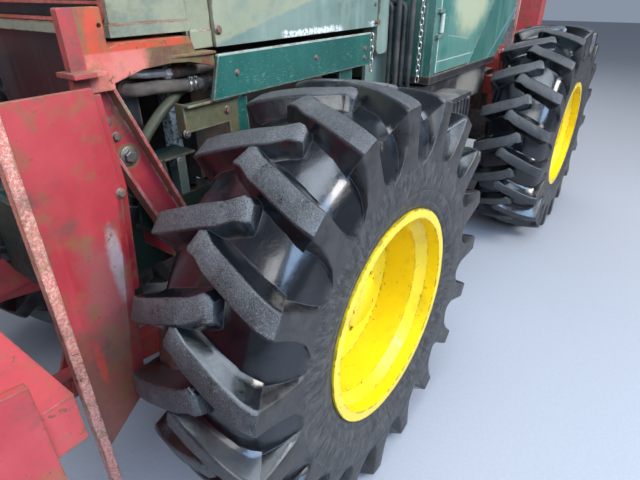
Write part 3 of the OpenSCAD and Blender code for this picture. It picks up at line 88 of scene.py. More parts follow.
FLOOR_HALF = 30
floor = mesh_object("floor", [(-FLOOR_HALF, -FLOOR_HALF, 0), (FLOOR_HALF, -FLOOR_HALF, 0),
                              (FLOOR_HALF, FLOOR_HALF, 0), (-FLOOR_HALF, FLOOR_HALF, 0)], [(0, 1, 2, 3)], False)
area_light("key", (-1.5, 7.5, 6.5), (0.6, 0.4, 0.8), (4, 3), 760, (1.0, 0.96, 0.9))
area_light("front", (8, 2.5, 5.5), (1.2, 0.4, 0.9), (4, 3), 240, (0.95, 0.98, 1.0))
area_light("back", (-7, -4, 6), (0, 0, 1.2), (6, 4), 300)
area_light("overhead", (1.8, 1.8, 6.5), (0.9, 0.8, 0.8), (4, 4), 330, (0.75, 0.87, 1.0))
area_light("sky", (3.0, 6.0, 4.6), (1.3, 0.9, 0.8), (5, 3), 480, (0.45, 0.66, 1.0))

world = bpy.data.worlds.new("studio")
world.use_nodes = True
background = world.node_tree.nodes["Background"]
background.inputs["Color"].default_value = (0.62, 0.73, 0.92, 1)
background.inputs["Strength"].default_value = 0.40
scene.world = world
scene.view_settings.view_transform = "Standard"

# ---------------------------------------------------------------- material helpers

# By name; the part's slots find theirs here
MATERIALS = {}


class Shader:
    """A material whose nodes are added by short calls."""

    def __init__(self, name):
        self.mat = MATERIALS[name] = bpy.data.materials.new(name)
        self.mat.use_nodes = True
        self.tree = self.mat.node_tree
        self.tree.nodes.clear()
        self.out = self.tree.nodes.new("ShaderNodeOutputMaterial")
        self.bsdf = self.tree.nodes.new("ShaderNodeBsdfPrincipled")
        self.link(self.bsdf.outputs[0], self.out.inputs[0])
        self.place = self.tree.nodes.new("ShaderNodeTexCoord").outputs["Object"]

    def link(self, a, b):
        self.tree.links.new(a, b)

    def put(self, socket, value):
        if isinstance(value, bpy.types.NodeSocket):
            self.link(value, socket)
        elif isinstance(value, (tuple, list)) and len(value) == 3 and len(socket.default_value) == 4:
            socket.default_value = (*value, 1)
        else:
            socket.default_value = value

    def set(self, **values):
        for name, value in values.items():
            self.put(self.bsdf.inputs[name.replace("_", " ")], value)

    def noise(self, scale, detail=5, rough=0.55, stretch=(1, 1, 1), shift=0.0, warp=0.0, place=None):
        m = self.tree.nodes.new("ShaderNodeMapping")
        m.inputs["Scale"].default_value = stretch
        m.inputs["Location"].default_value = (shift, shift * 1.7, shift * 0.6)
        self.link(place or self.place, m.inputs["Vector"])
        n = self.tree.nodes.new("ShaderNodeTexNoise")
        n.inputs["Scale"].default_value = scale
        n.inputs["Detail"].default_value = detail
        n.inputs["Roughness"].default_value = rough
        n.inputs["Distortion"].default_value = warp
        self.link(m.outputs[0], n.inputs["Vector"])
        return n.outputs["Fac"]

    def step(self, value, low, high, a=0.0, b=1.0):
        """value from low to high becomes a to b, smoothly, and stays there outside."""
        n = self.tree.nodes.new("ShaderNodeMapRange")
        n.interpolation_type = "SMOOTHSTEP"
        for i, v in enumerate((value, low, high, a, b)):
            self.put(n.inputs[i], v)
        return n.outputs[0]

    def math(self, kind, a, b, c=None):
        n = self.tree.nodes.new("ShaderNodeMath")
        n.operation = kind
        n.use_clamp = kind in ("ADD", "SUBTRACT", "MULTIPLY")
        self.put(n.inputs[0], a)
        self.put(n.inputs[1], b)
        if c is not None:
            self.put(n.inputs[2], c)
        return n.outputs[0]

    def both(self, *masks):
        """The product of masks."""
        out = masks[0]
        for mask in masks[1:]:
            out = self.math("MULTIPLY", out, mask)
        return out

    def mix(self, fac, a, b):
        n = self.tree.nodes.new("ShaderNodeMix")
        n.data_type = "RGBA"
        self.put(n.inputs[0], fac)
        self.put(n.inputs[6], a)
        self.put(n.inputs[7], b)
        return n.outputs[2]

    def over(self, color, tint, *masks):
        """A colour with a tint laid over it, as strong as the product of the masks."""
        return self.mix(self.both(*masks), color, tint)

    def attribute(self, name, channel=None):
        n = self.tree.nodes.new("ShaderNodeAttribute")
        n.attribute_name = name
        if channel is None:
            return n.outputs["Vector"]
        s = self.tree.nodes.new("ShaderNodeSeparateColor")
        self.link(n.outputs["Color"], s.inputs[0])
        return s.outputs[channel]

    def upward(self):
        """How far the surface faces up, from -1 to 1."""
        coordinates = self.tree.nodes.new("ShaderNodeTexCoord")
        split = self.tree.nodes.new("ShaderNodeSeparateXYZ")
        self.link(coordinates.outputs["Normal"], split.inputs[0])
        return split.outputs["Z"]

    def plane(self, normal, level, soft=0.008, wobble=0.0, scale=24):
        """0 before and 1 beyond a plane through the part, with a ragged border."""
        n = self.tree.nodes.new("ShaderNodeVectorMath")
        n.operation = "DOT_PRODUCT"
        self.link(self.place, n.inputs[0])
        n.inputs[1].default_value = normal
        value = n.outputs["Value"]
        if wobble:
            value = self.math("MULTIPLY_ADD", self.noise(scale, 6, 0.7), wobble, value)
        return self.step(value, level + wobble / 2 - soft, level + wobble / 2 + soft)

    def before(self, *plane):
        """1 before and 0 beyond a plane through the part."""
        return self.math("SUBTRACT", 1.0, self.plane(*plane))

    def near(self, at, size, soft, wobble, scale, shift=0.0):
        """1 inside an ellipsoid of the given half sizes around a point of the part, with a ragged border."""
        m = self.tree.nodes.new("ShaderNodeMapping")
        m.inputs["Scale"].default_value = [1 / s for s in size]
        m.inputs["Location"].default_value = [-a / s for a, s in zip(at, size)]
        self.link(self.place, m.inputs["Vector"])
        n = self.tree.nodes.new("ShaderNodeVectorMath")
        n.operation = "LENGTH"
        self.link(m.outputs[0], n.inputs[0])
        value = self.math("MULTIPLY_ADD", self.noise(scale, 6, 0.7, shift=shift), wobble, n.outputs["Value"])
        return self.step(value, 1 + wobble / 2 - soft, 1 + wobble / 2 + soft, 1.0, 0.0)

    def line(self, a, b, width, wobble):
        """1 along a thin straight line from a to b, given as x and z with a at the smaller x."""
        a, b = Vector(a), Vector(b)
        t = (b - a).normalized()
        across, along = (-t[1], 0, t[0]), (t[0], 0, t[1])
        level = Vector((-t[1], t[0])).dot(a)
        return self.both(self.plane(across, level - width / 2, 0.0012, wobble),
                         self.before(across, level + width / 2, 0.0012, wobble),
                         self.plane(along, t.dot(a), 0.004), self.before(along, t.dot(b), 0.004))

    def edges(self, radius):
        """1 on sharp edges, 0 on flats."""
        bevel = self.tree.nodes.new("ShaderNodeBevel")
        bevel.samples = 4
        bevel.inputs["Radius"].default_value = radius
        geo = self.tree.nodes.new("ShaderNodeNewGeometry")
        dot = self.tree.nodes.new("ShaderNodeVectorMath")
        dot.operation = "DOT_PRODUCT"
        self.link(bevel.outputs[0], dot.inputs[0])
        self.link(geo.outputs["True Normal"], dot.inputs[1])
        return self.step(dot.outputs["Value"], 0.98, 0.86)

    def bump(self, *layers, soft=0.0):
        """Stacked bumps, each (height, strength, distance), over edges softened by a radius."""
        normal = None
        if soft:
            bevel = self.tree.nodes.new("ShaderNodeBevel")
            bevel.samples = 4
            bevel.inputs["Radius"].default_value = soft
            normal = bevel.outputs[0]
        for height, strength, distance in layers:
            n = self.tree.nodes.new("ShaderNodeBump")
            n.inputs["Strength"].default_value = strength
            n.inputs["Distance"].default_value = distance
            self.link(height, n.inputs["Height"])
            if normal is not None:
                self.link(normal, n.inputs["Normal"])
            normal = n.outputs[0]
        self.link(normal, self.bsdf.inputs["Normal"])


def brighter(color, factor, add=0.0):
    return tuple(min(1, c * factor + add) for c in color)


def painted(name, paint, faded, under=(0.10, 0.04, 0.02), fade=(0.35, 0.7), chips=0.66, dirt=(0.06, 0.05, 0.03),
            dirt_at=(0.52, 0.75), rough=0.42, speckle=0.0, moss=0.0, streaks=0.5, shift=0.0, local=None,
            pale_and_lit_edges=0.0):
    """Old paint: fading in clouds and streaks, dirt, chips and worn edges down to what lies under it, and a pale rim on
    sharp edges that is partly bleached paint, partly painted highlight.
    """
    s = Shader(name)
    cloud = s.noise(1.7, 5, 0.6, shift=shift, warp=0.4)
    streak = s.noise(9, 5, 0.65, stretch=(1, 1, 0.12), shift=shift + 3)
    fine = s.noise(90, 4, 0.7, shift=shift + 5)
    color = s.mix(s.step(cloud, *fade), paint, faded)
    color = s.over(color, brighter(faded, 1.35, 0.03), s.step(streak, 0.45, 0.75), streaks)
    if speckle:
        scratch = s.noise(240, 3, 0.75, stretch=(0.45, 0.45, 1), shift=shift + 8)
        color = s.over(color, (0.36, 0.44, 0.40), s.step(scratch, 0.6, 0.72), speckle)
    if local:
        color = local(s, color)
    grime = s.both(s.step(s.noise(5.5, 8, 0.7, shift=shift + 11), *dirt_at), 0.85)
    color = s.mix(grime, color, dirt)
    if moss:
        color = s.over(color, (0.13, 0.115, 0.03), s.step(s.noise(14, 8, 0.75, shift=shift + 14), 0.5, 0.66), moss)
    sharp = s.edges(0.012)
    # Pale rim on the sharp edges: partly bleached paint, partly a painted highlight
    if pale_and_lit_edges:
        color = s.over(color, (0.5, 0.5, 0.42), sharp, pale_and_lit_edges)
    worn = s.both(sharp, s.step(s.noise(22, 5, 0.7, shift=shift + 19), 0.42, 0.6))
    chip = s.math("ADD", s.step(s.noise(30, 7, 0.72, shift=shift + 17), chips, chips + 0.03), worn)
    color = s.mix(chip, color, s.mix(fine, under, brighter(under, 2.6)))
    roughness = s.step(s.math("ADD", s.both(grime, 0.5), s.both(chip, 0.5)), 0, 0.6, rough, 0.85)
    s.set(Base_Color=color, Roughness=roughness)
    s.bump((chip, -0.35, 0.002), (fine, 0.12, 0.002), (s.noise(6, 3), 0.25, 0.01), soft=0.004)
    return s.mat


def metal(name, color, rough, metallic=1.0, rust=0.0, dirt=0.4, shift=0.0):
    """Bare or cast metal with dirt in clouds and rust."""
    s = Shader(name)
    fine = s.noise(120, 4, 0.7, shift=shift)
    cloud = s.step(s.noise(7, 6, 0.7, shift=shift + 2), 0.45, 0.68)
    base = s.over(color, (0.045, 0.035, 0.025), cloud, dirt)
    brown = s.both(s.step(s.noise(18, 8, 0.75, shift=shift + 4), 0.42, 0.6), rust)
    base = s.over(base, s.mix(fine, (0.09, 0.035, 0.015), (0.26, 0.1, 0.04)), brown)
    s.set(Base_Color=base, Roughness=s.step(cloud, 0, 1, rough, min(1, rough + 0.35)),
          Metallic=s.both(s.math("SUBTRACT", 1.0, s.both(brown, 0.9)), metallic))
    s.bump((fine, 0.25, 0.002), (cloud, 0.2, 0.003), soft=0.003)
    return s.mat


def plastic(name, color, rough, dust=0.4, grain=300, shift=0.0, dusty=(0.16, 0.15, 0.13), top=0.0, film=None):
    """Rubber or plastic with dust, most of it on faces that look up, and a dry film around one place."""
    s = Shader(name)
    cloud = s.both(s.step(s.noise(4, 7, 0.7, shift=shift), 0.42, 0.72), dust)
    if top:
        cloud = s.math("ADD", cloud, s.both(s.step(s.upward(), 0.3, 0.9), s.step(s.noise(9, 6, 0.7), 0.3, 0.6), top))
    base = s.mix(cloud, color, dusty)
    if film:
        dry = s.mix(s.noise(30, 5, 0.7, stretch=(1, 1, 0.2)), (0.13, 0.115, 0.095), (0.36, 0.33, 0.28))
        base = s.over(base, dry, s.near(*film), 0.8)
    s.set(Base_Color=base, Roughness=s.step(cloud, 0, 0.5, rough, 0.85))
    s.bump((s.noise(grain, 2, 0.5), 0.15, 0.001), (s.noise(5, 3), 0.2, 0.008), soft=0.003)
    return s.mat


# ---------------------------------------------------------------- local marks, seen in the photo

X, Y, Z = (1, 0, 0), (0, 1, 0), (0, 0, 1)
MOSSY = (0.17, 0.15, 0.07)


def hood_marks(s, color):
    # Front cowl: darker and dirtier than the hood behind it
    soot = s.mix(s.noise(120, 3, 0.8), (0.035, 0.05, 0.042), (0.15, 0.185, 0.15))
    color = s.over(color, soot, s.plane(X, 1.492, 0.002), s.step(s.noise(8, 6, 0.7, shift=31), 0.25, 0.6, 0.45, 0.9))
    # Lichen on the top
    color = s.over(color, (0.33, 0.31, 0.18), s.plane((0.22, 0, 0.975), 1.976, 0.006, 0.03),
                   s.step(s.noise(7, 6, 0.7), 0.3, 0.6, 0.15, 0.6))
    # White flakes along the lower edge
    color = s.over(color, (0.6, 0.62, 0.58), s.before(Z, 1.706, 0.004, 0.045, 45), s.plane(X, 0.452, 0.001),
                   s.step(s.noise(70, 5, 0.7, shift=2), 0.42, 0.5), s.step(s.noise(3.2, 2, 0.5, shift=1.2), 0.46, 0.54))
    # Rust line across the cowl
    return s.over(color, (0.13, 0.07, 0.035), s.plane(Z, 1.7655, 0.0008), s.before(Z, 1.7725, 0.0015, 0.006),
                  s.plane(X, 1.6, 0.002), 0.8)


def panel_marks(s, color):
    # Fine scratches lengthwise
    color = s.over(color, (0.24, 0.4, 0.35), s.step(s.noise(150, 4, 0.7, stretch=(0.25, 1, 1), shift=4), 0.56, 0.64),
                   s.step(s.noise(5, 5, 0.6, shift=3), 0.45, 0.65), 0.55)
    # Oily bracket below the panel's front end: dark olive oil and dirt, deepened as painted shade
    oil_and_shade = s.mix(s.noise(40, 6, 0.75), (0.035, 0.032, 0.015), (0.17, 0.15, 0.08))
    color = s.over(color, oil_and_shade, s.before(Z, 1.526, 0.002), s.plane(X, 1.425, 0.002),
                   s.step(s.noise(11, 6, 0.7, shift=6), 0.25, 0.5, 0.6, 0.95))
    # Bleached upper edge
    return s.over(color, (0.4, 0.44, 0.38), s.plane(Z, 1.659, 0.001), 0.75)


def door_marks(s, color):
    # Lichen below the window, three long scratches and the bleached front edge
    color = s.over(color, (0.42, 0.42, 0.26), s.near((-0.28, 0.7, 1.82), (0.26, 0.2, 0.2), 0.3, 0.9, 9), 0.75)
    for a, b, width, tint in (((-0.531, 1.495), (0.134, 1.498), 0.006, (0.4, 0.42, 0.36)),
                              ((-0.735, 1.772), (-0.337, 1.456), 0.022, (0.05, 0.2, 0.22)),
                              ((-0.3, 1.58), (0.02, 1.62), 0.003, (0.35, 0.38, 0.32))):
        color = s.over(color, tint, s.line(a, b, width, 0.004), 0.75)
    return s.over(color, (0.5, 0.52, 0.46), s.plane(X, 0.141, 0.002, 0.008, 60), 0.8)


def side_marks(s, color):
    # One long scuff, and darker clouds
    color = s.over(color, (0.14, 0.22, 0.27), s.line((-1.236, 1.761), (-0.661, 1.421), 0.02, 0.006), 0.7)
    return s.over(color, (0.08, 0.17, 0.14), s.step(s.noise(3, 5, 0.6, shift=5), 0.5, 0.7), 0.35)


def guard_marks(s, color):
    # Side sheet: rusty at its foot, with worn patches and a gash
    sheet = s.plane(Y, 0.583, 0.002)
    color = s.over(color, s.mix(s.noise(40, 6, 0.7), (0.10, 0.035, 0.02), (0.22, 0.09, 0.05)), sheet,
                   s.before(Z, 0.97, 0.06, 0.4, 8), 0.8)
    color = s.over(color, (0.36, 0.35, 0.35), s.near((2.045, 0.6, 1.15), (0.022, 0.1, 0.12), 0.4, 1.3, 26), 0.75)
    color = s.over(color, (0.19, 0.10, 0.085), s.near((2.09, 0.6, 1.05), (0.07, 0.1, 0.2), 0.5, 1.8, 12, 5), 0.5)
    color = s.over(color, (0.22, 0.2, 0.15), s.near((2.03, 0.6, 0.93), (0.035, 0.1, 0.09), 0.4, 1.5, 20, 9), 0.6)
    color = s.over(color, (0.5, 0.04, 0.03), s.near((2.17, 0.6, 0.865), (0.012, 0.1, 0.07), 0.3, 0.6, 30), 0.9)
    # Front bar, bleached
    bleached = s.mix(s.step(s.noise(130, 4, 0.8), 0.45, 0.6), (0.55, 0.15, 0.11), (0.62, 0.42, 0.33))
    color = s.over(color, bleached, s.plane(X, 2.2215, 0.001))
    # Beam: faded salmon at its front, brightened as painted sunlight, and behind it a painted shadow of the cowl, dark
    # brown with rust and moss
    beam = s.both(s.plane(Z, 1.6, 0.002), s.before(X, 1.97, 0.002))
    # Painted shadow of the cowl, with rust and moss in it
    rusty = s.mix(s.step(s.noise(13, 7, 0.75), 0.42, 0.6), (0.15, 0.045, 0.03), (0.15, 0.125, 0.05))
    color = s.over(color, rusty, beam)
    # Painted sunlight on the beam's front, over faded paint
    salmon = s.mix(s.step(s.noise(5, 5, 0.6, shift=7), 0.4, 0.65), (0.50, 0.075, 0.055), (0.56, 0.17, 0.13))
    color = s.over(color, salmon, beam, s.plane(X, 1.79, 0.012, 0.05))
    streaked = s.step(s.noise(9, 6, 0.7, stretch=(1, 1, 0.15), shift=3), 0.5, 0.62)
    color = s.over(color, s.mix(streaked, (0.5, 0.06, 0.03), (0.16, 0.12, 0.04)), s.plane(Z, 1.708, 0.003), beam)
    # Painted shade along the sheet's set-back rear edge, and moss on all that faces up
    color = s.over(color, (0.2, 0.008, 0.014), sheet, s.before((0.9896, 0, 0.1436), 2.1745, 0.002),
                   s.before(Z, 1.36, 0.01), 0.75)
    return s.over(color, MOSSY, s.step(s.upward(), 0.6, 0.9), s.step(s.noise(16, 6, 0.7), 0.38, 0.56), 0.65)


def channel_marks(s, color):
    # Rusty web, moss at the top and a dark ring around the big bolt
    color = s.over(color, s.mix(s.noise(30, 6, 0.7), (0.10, 0.05, 0.03), (0.25, 0.17, 0.11)),
                   s.plane(Y, 0.489, 0.001), s.before(Y, 0.522, 0.001), 0.8)
    color = s.over(color, MOSSY, s.plane(Z, 1.5, 0.03, 0.12, 10), s.step(s.noise(20, 6, 0.7), 0.42, 0.58), 0.75)
    return s.over(color, (0.13, 0.12, 0.04), s.near((1.874, 0.485, 1.411), (0.038, 0.05, 0.038), 0.15, 0.5, 60), 0.85)


# ---------------------------------------------------------------- materials

floor_shader = Shader("floor_pale")
floor_grey = floor_shader.mix(floor_shader.noise(60, 5, 0.7), (0.29, 0.30, 0.33), (0.37, 0.38, 0.41))
floor_shader.set(Base_Color=floor_grey, Roughness=0.75)
floor.data.materials.append(floor_shader.mat)

glass = Shader("glass_dusty")
glass.set(Base_Color=(0.75, 0.83, 0.8), Roughness=glass.step(glass.noise(6, 6), 0.4, 0.7, 0.03, 0.25),
          Transmission_Weight=0.92, IOR=1.3)

fabric = Shader("seat_weave")
fabric.set(Base_Color=fabric.mix(fabric.noise(5, 5), (0.012, 0.012, 0.014), (0.05, 0.05, 0.055)), Roughness=0.9,
           Sheen_Weight=0.3)
fabric.bump((fabric.noise(420, 2, 0.5), 0.5, 0.0015))

# Ageing that the red parts share, and the red's paint when fresh and when faded
RED = dict(under=(0.09, 0.035, 0.015), fade=(0.3, 0.65), chips=0.61, dirt=(0.09, 0.045, 0.03), dirt_at=(0.5, 0.72),
           rough=0.4, moss=0.5, streaks=0.35)
CRIMSON = ((0.31, 0.018, 0.026), (0.44, 0.055, 0.058))

painted("frame_green", (0.010, 0.035, 0.026), (0.022, 0.06, 0.045), chips=0.62, dirt=(0.03, 0.028, 0.02),
        dirt_at=(0.42, 0.62), shift=1)
metal("cast_grey", (0.05, 0.055, 0.055), 0.6, 0.3, rust=0.5, shift=2)
metal("engine_grey", (0.05, 0.052, 0.048), 0.6, 0.2, rust=0.35, dirt=0.8, shift=3)
painted("black_steel", (0.008, 0.008, 0.009), (0.02, 0.02, 0.021), rough=0.38, shift=4, pale_and_lit_edges=0.12)
painted("faded_green", (0.085, 0.14, 0.115), (0.17, 0.225, 0.185), fade=(0.3, 0.6), chips=0.69,
        dirt=(0.075, 0.07, 0.045), dirt_at=(0.54, 0.8), rough=0.5, speckle=0.35, shift=5, local=hood_marks,
        pale_and_lit_edges=0.2)
painted("red_paint", *CRIMSON, shift=6, **RED)
painted("panel_green", (0.006, 0.065, 0.05), (0.014, 0.095, 0.075), chips=0.72, dirt_at=(0.6, 0.85), rough=0.33,
        speckle=0.35, streaks=0.3, shift=7, local=panel_marks, pale_and_lit_edges=0.35)
metal("rod_chrome", (0.62, 0.62, 0.62), 0.12, dirt=0.25, shift=8)
painted("cab_green", (0.012, 0.085, 0.065), (0.06, 0.15, 0.12), fade=(0.42, 0.75), chips=0.71, dirt_at=(0.6, 0.85),
        rough=0.36, speckle=0.2, shift=9, local=side_marks, pale_and_lit_edges=0.35)
painted("door_green", (0.02, 0.115, 0.09), (0.07, 0.17, 0.135), fade=(0.45, 0.62), chips=0.73, dirt_at=(0.62, 0.85),
        rough=0.38, speckle=0.15, shift=10, local=door_marks, pale_and_lit_edges=0.3)
MATERIALS["glass"] = glass.mat
MATERIALS["seat_fabric"] = fabric.mat
plastic("black_plastic", (0.012, 0.012, 0.013), 0.4, top=0.7)
metal("rusty_steel", (0.14, 0.12, 0.11), 0.5, 0.8, rust=0.95, shift=12)
plastic("rubber_hose", (0.01, 0.01, 0.011), 0.45, 0.35, 500, shift=13, top=0.5)
metal("chain_steel", (0.6, 0.58, 0.53), 0.32, rust=0.2, shift=14)
# Mesh guard: the red paint made pale salmon, as painted sunlight
painted("mesh_salmon", (0.52, 0.2, 0.15), (0.62, 0.3, 0.24), chips=0.7, rough=0.6, shift=15)

HOSE_DUSTY = plastic("hose_dusty", (0.055, 0.043, 0.034), 0.5, 0.9, shift=16, dusty=(0.23, 0.18, 0.14), top=0.7)
HOSE_OLIVE = plastic("hose_olive", (0.035, 0.036, 0.018), 0.5, 0.6, shift=17, dusty=(0.12, 0.12, 0.06), top=0.4)
PIPE = metal("pipe_zinc", (0.72, 0.7, 0.66), 0.38, 0.6, rust=0.25, dirt=0.3, shift=24)
BOLT = metal("bolt_old", (0.22, 0.2, 0.18), 0.45, 0.9, rust=0.8, shift=18)
# Nodes whose look differs from that of their slot
NODE_MATERIALS = {
    "front_guard": painted("guard_red", *CRIMSON, shift=20, local=guard_marks, **RED),
    # Brace channels: the red made darker, as painted shade
    "brace_channels": painted("channel_red_shaded", (0.25, 0.012, 0.022), (0.34, 0.03, 0.04), shift=21,
                              local=channel_marks, pale_and_lit_edges=0.5, **{**RED, "moss": 0.25}),
    "side_tanks": plastic("tank_black", (0.012, 0.012, 0.013), 0.4, shift=23, top=0.7,
                          film=((-0.52, 0.655, 1.29), (0.2, 0.1, 0.1), 0.4, 1.2, 9)),
    "grille": painted("grille_red", (0.36, 0.045, 0.03), (0.5, 0.12, 0.09), shift=22, **RED),
}

# Rim: thick gloss yellow, with rust and tar spots and grime in clouds
s = Shader("rim_yellow")
spots = s.step(s.noise(26, 8, 0.75, shift=4), 0.62, 0.66)
color = s.mix(s.noise(3, 4), (0.78, 0.52, 0.003), (0.87, 0.64, 0.008))
color = s.over(color, (0.32, 0.19, 0.02), s.step(s.noise(8, 6, 0.7, shift=6), 0.5, 0.75), 0.35)
color = s.over(color, s.mix(s.noise(80, 4), (0.05, 0.02, 0.01), (0.25, 0.1, 0.02)), spots)
color = s.over(color, (0.03, 0.015, 0.008), s.edges(0.012), s.step(s.noise(24, 6, 0.75, shift=8), 0.47, 0.55))
s.set(Base_Color=color, Roughness=s.step(spots, 0, 1, 0.3, 0.8), Coat_Weight=0.3)
s.bump((spots, -0.3, 0.002), (s.noise(70, 3), 0.1, 0.002), (s.noise(9, 3), 0.3, 0.004), soft=0.003)

# Tyre: dressed black rubber. Tops of the lugs are scuffed grey with sand, most at their noses
s = Shader("tyre_rubber")
worn, wall, ends = (s.attribute("tread", channel) for channel in range(3))
grit = s.noise(320, 4, 0.85, shift=2)
patch = s.noise(13, 6, 0.7, shift=5)
cracks = s.step(s.noise(60, 6, 0.75, stretch=(1, 1, 0.35), place=s.attribute("polar")), 0.38, 0.62)
dust = s.noise(6, 6, 0.7)
scuff = s.both(worn, s.step(s.math("ADD", s.both(patch, 0.6), s.both(grit, 0.4)), 0.33, 0.5))
sand = s.both(worn, s.step(s.noise(170, 5, 0.85, shift=9), 0.56, 0.66), s.step(s.noise(7, 5, 0.6, shift=12), 0.35, 0.6))
matt = s.math("ADD", s.both(wall, s.step(dust, 0.3, 0.62, 0.45, 0.95)), s.both(ends, s.step(patch, 0.3, 0.6, 0.4, 0.9)))
lug_end = s.mix(s.step(patch, 0.35, 0.65), (0.011, 0.010, 0.010), (0.04, 0.036, 0.033))
dusty = s.mix(cracks, (0.014, 0.0135, 0.013), (0.07, 0.066, 0.062))
color = s.mix(ends, (0.0035, 0.004, 0.0055), lug_end)
color = s.over(color, dusty, wall, s.step(dust, 0.3, 0.62, 0.6, 1.0))
color = s.over(color, s.mix(s.step(grit, 0.42, 0.62), (0.022, 0.023, 0.026), (0.14, 0.138, 0.135)), scuff)
color = s.over(color, s.mix(s.noise(60, 2), (0.2, 0.17, 0.13), (0.42, 0.41, 0.38)), sand)
# Lighter grey on the lugs' sharp edges: partly scuffed rubber, partly a painted highlight
color = s.over(color, (0.12, 0.12, 0.13), s.edges(0.005), 0.3)
gloss = s.math("SUBTRACT", 0.5, s.math("ADD", s.math("ADD", scuff, wall), s.both(ends, 0.5)))
roughness = s.math("ADD", s.step(patch, 0.4, 0.7, 0.14, 0.26), s.both(s.math("ADD", scuff, sand), 0.5))
s.set(Base_Color=color, Coat_Weight=gloss, Coat_Roughness=0.12, Roughness=s.math("ADD", roughness, s.both(matt, 0.33)))
s.bump((grit, 0.2, 0.002), (s.both(cracks, wall), 0.6, 0.003), (s.noise(35, 4, 0.6), 0.18, 0.004),
       (s.noise(9, 4), 0.33, 0.014))
MATERIALS["tyre"] = s.mat

slot_of = {part["node"]: part["material_slot"] for part in frame["record"]["subparts"]}
for name, obj in nodes.items():
    obj.data.materials.clear()
    obj.data.materials.append(NODE_MATERIALS.get(name, MATERIALS[slot_of[name]]))

# ---------------------------------------------------------------- tyres

# Radius over the lugs, and the wheels' mid-planes
TYRE_R = 0.795
WHEEL_Y = 0.935
FRONT_AXLE_X, REAR_AXLE_X = 1.365, -1.505
# Lugs in a row, angle of the first one, and the second row's lag in parts of the pitch
LUGS = 19
FIRST_LUG = math.radians(1.06)
ROW_OFFSET = 0.45
CARCASS_STEPS = 228
SHARP = math.radians(38)
Station = namedtuple("Station", "lead top_half root_half top_y top_drop root_y root_drop skew end")
# Stations of a lug. Columns: lead around the tyre, half width at the top, half width at the root,
# top across and below the crown, root across and below it
LUG = [
    [0.000, 0.024, 0.040, -0.072, 0.012, -0.070, 0.060],
    [0.000, 0.033, 0.046, -0.058, 0.002, -0.060, 0.056],
    [0.000, 0.037, 0.052, -0.035, 0.000, -0.040, 0.053],
    [-0.028, 0.038, 0.055, 0.010, 0.000, 0.008, 0.053],
    [-0.056, 0.038, 0.056, 0.085, 0.001, 0.080, 0.055],
    [-0.082, 0.038, 0.057, 0.150, 0.006, 0.140, 0.064],
    [-0.102, 0.038, 0.058, 0.205, 0.014, 0.180, 0.080],
    [-0.112, 0.037, 0.058, 0.240, 0.024, 0.196, 0.100],
    [-0.113, 0.037, 0.058, 0.2505, 0.032, 0.198, 0.104],
    [-0.114, 0.039, 0.060, 0.2515, 0.075, 0.214, 0.140],
    [-0.118, 0.045, 0.063, 0.2515, 0.130, 0.226, 0.170],
    [-0.127, 0.058, 0.078, 0.2510, 0.180, 0.236, 0.205],
    [-0.136, 0.084, 0.106, 0.2505, 0.208, 0.239, 0.219],
    [-0.145, 0.126, 0.131, 0.2500, 0.226, 0.240, 0.229],
]
# Skew of the three stations at the nose; the others have none
SKEW = [0.009, 0.006, 0.003] + [0.0] * (len(LUG) - 3)
# Last station of the tread, where the lug's end face starts
SHOULDER = 8
# Half of a lug's section: share of the half width, share of the height, extra width, wear
SECTION = [(1.0, -0.10, 0.020, 0), (1.0, 0.06, 0.010, 0), (1.0, 0.22, 0.003, 0), (1.0, 0.84, 0.0, 0),
           (0.95, 0.96, 0.0, 0.45), (0.86, 1.0, 0.0, 1)]
# Half of the carcass: across and radius, from the inner wall of the bead to the crown
CARCASS = [(0.172, 0.382), (0.2217, 0.382), (0.2217, 0.405), (0.2245, 0.411), (0.2300, 0.417), (0.2335, 0.427),
           (0.2325, 0.433), (0.2370, 0.441), (0.2425, 0.455), (0.2455, 0.470), (0.2440, 0.474), (0.2470, 0.479),
           (0.2490, 0.500), (0.2500, 0.530), (0.2500, 0.565), (0.2470, 0.580), (0.2360, 0.600), (0.2220, 0.650),
           (0.2050, 0.690), (0.1800, 0.715), (0.1500, 0.730), (0.0800, 0.742), (0, TYRE_R - 0.05)]


def lug_stations():
    """The table's stations, with one more between each two of the tread and a crease at the shoulder."""
    out = []
    for i, row in enumerate(LUG):
        if 0 < i < SHOULDER:
            middle = [(a + b) / 2 for a, b in zip(LUG[i - 1], row)]
            out.append(Station(*middle, (SKEW[i - 1] + SKEW[i]) / 2, 0.0))
        out.append(Station(*row, SKEW[i], float(i > SHOULDER)))
        if i == SHOULDER:
            out.append(Station(*row, 0.0, 1.0))
    return out


def round_edges(obj, width, angle):
    """Shades an object's edges sharp beyond an angle and rounds them by a width."""
    obj.data.set_sharp_from_angle(angle=angle)
    if width:
        mod = obj.modifiers.new("bevel", "BEVEL")
        mod.width = width
        mod.segments = 2
        mod.limit_method = "ANGLE"
        mod.angle_limit = angle


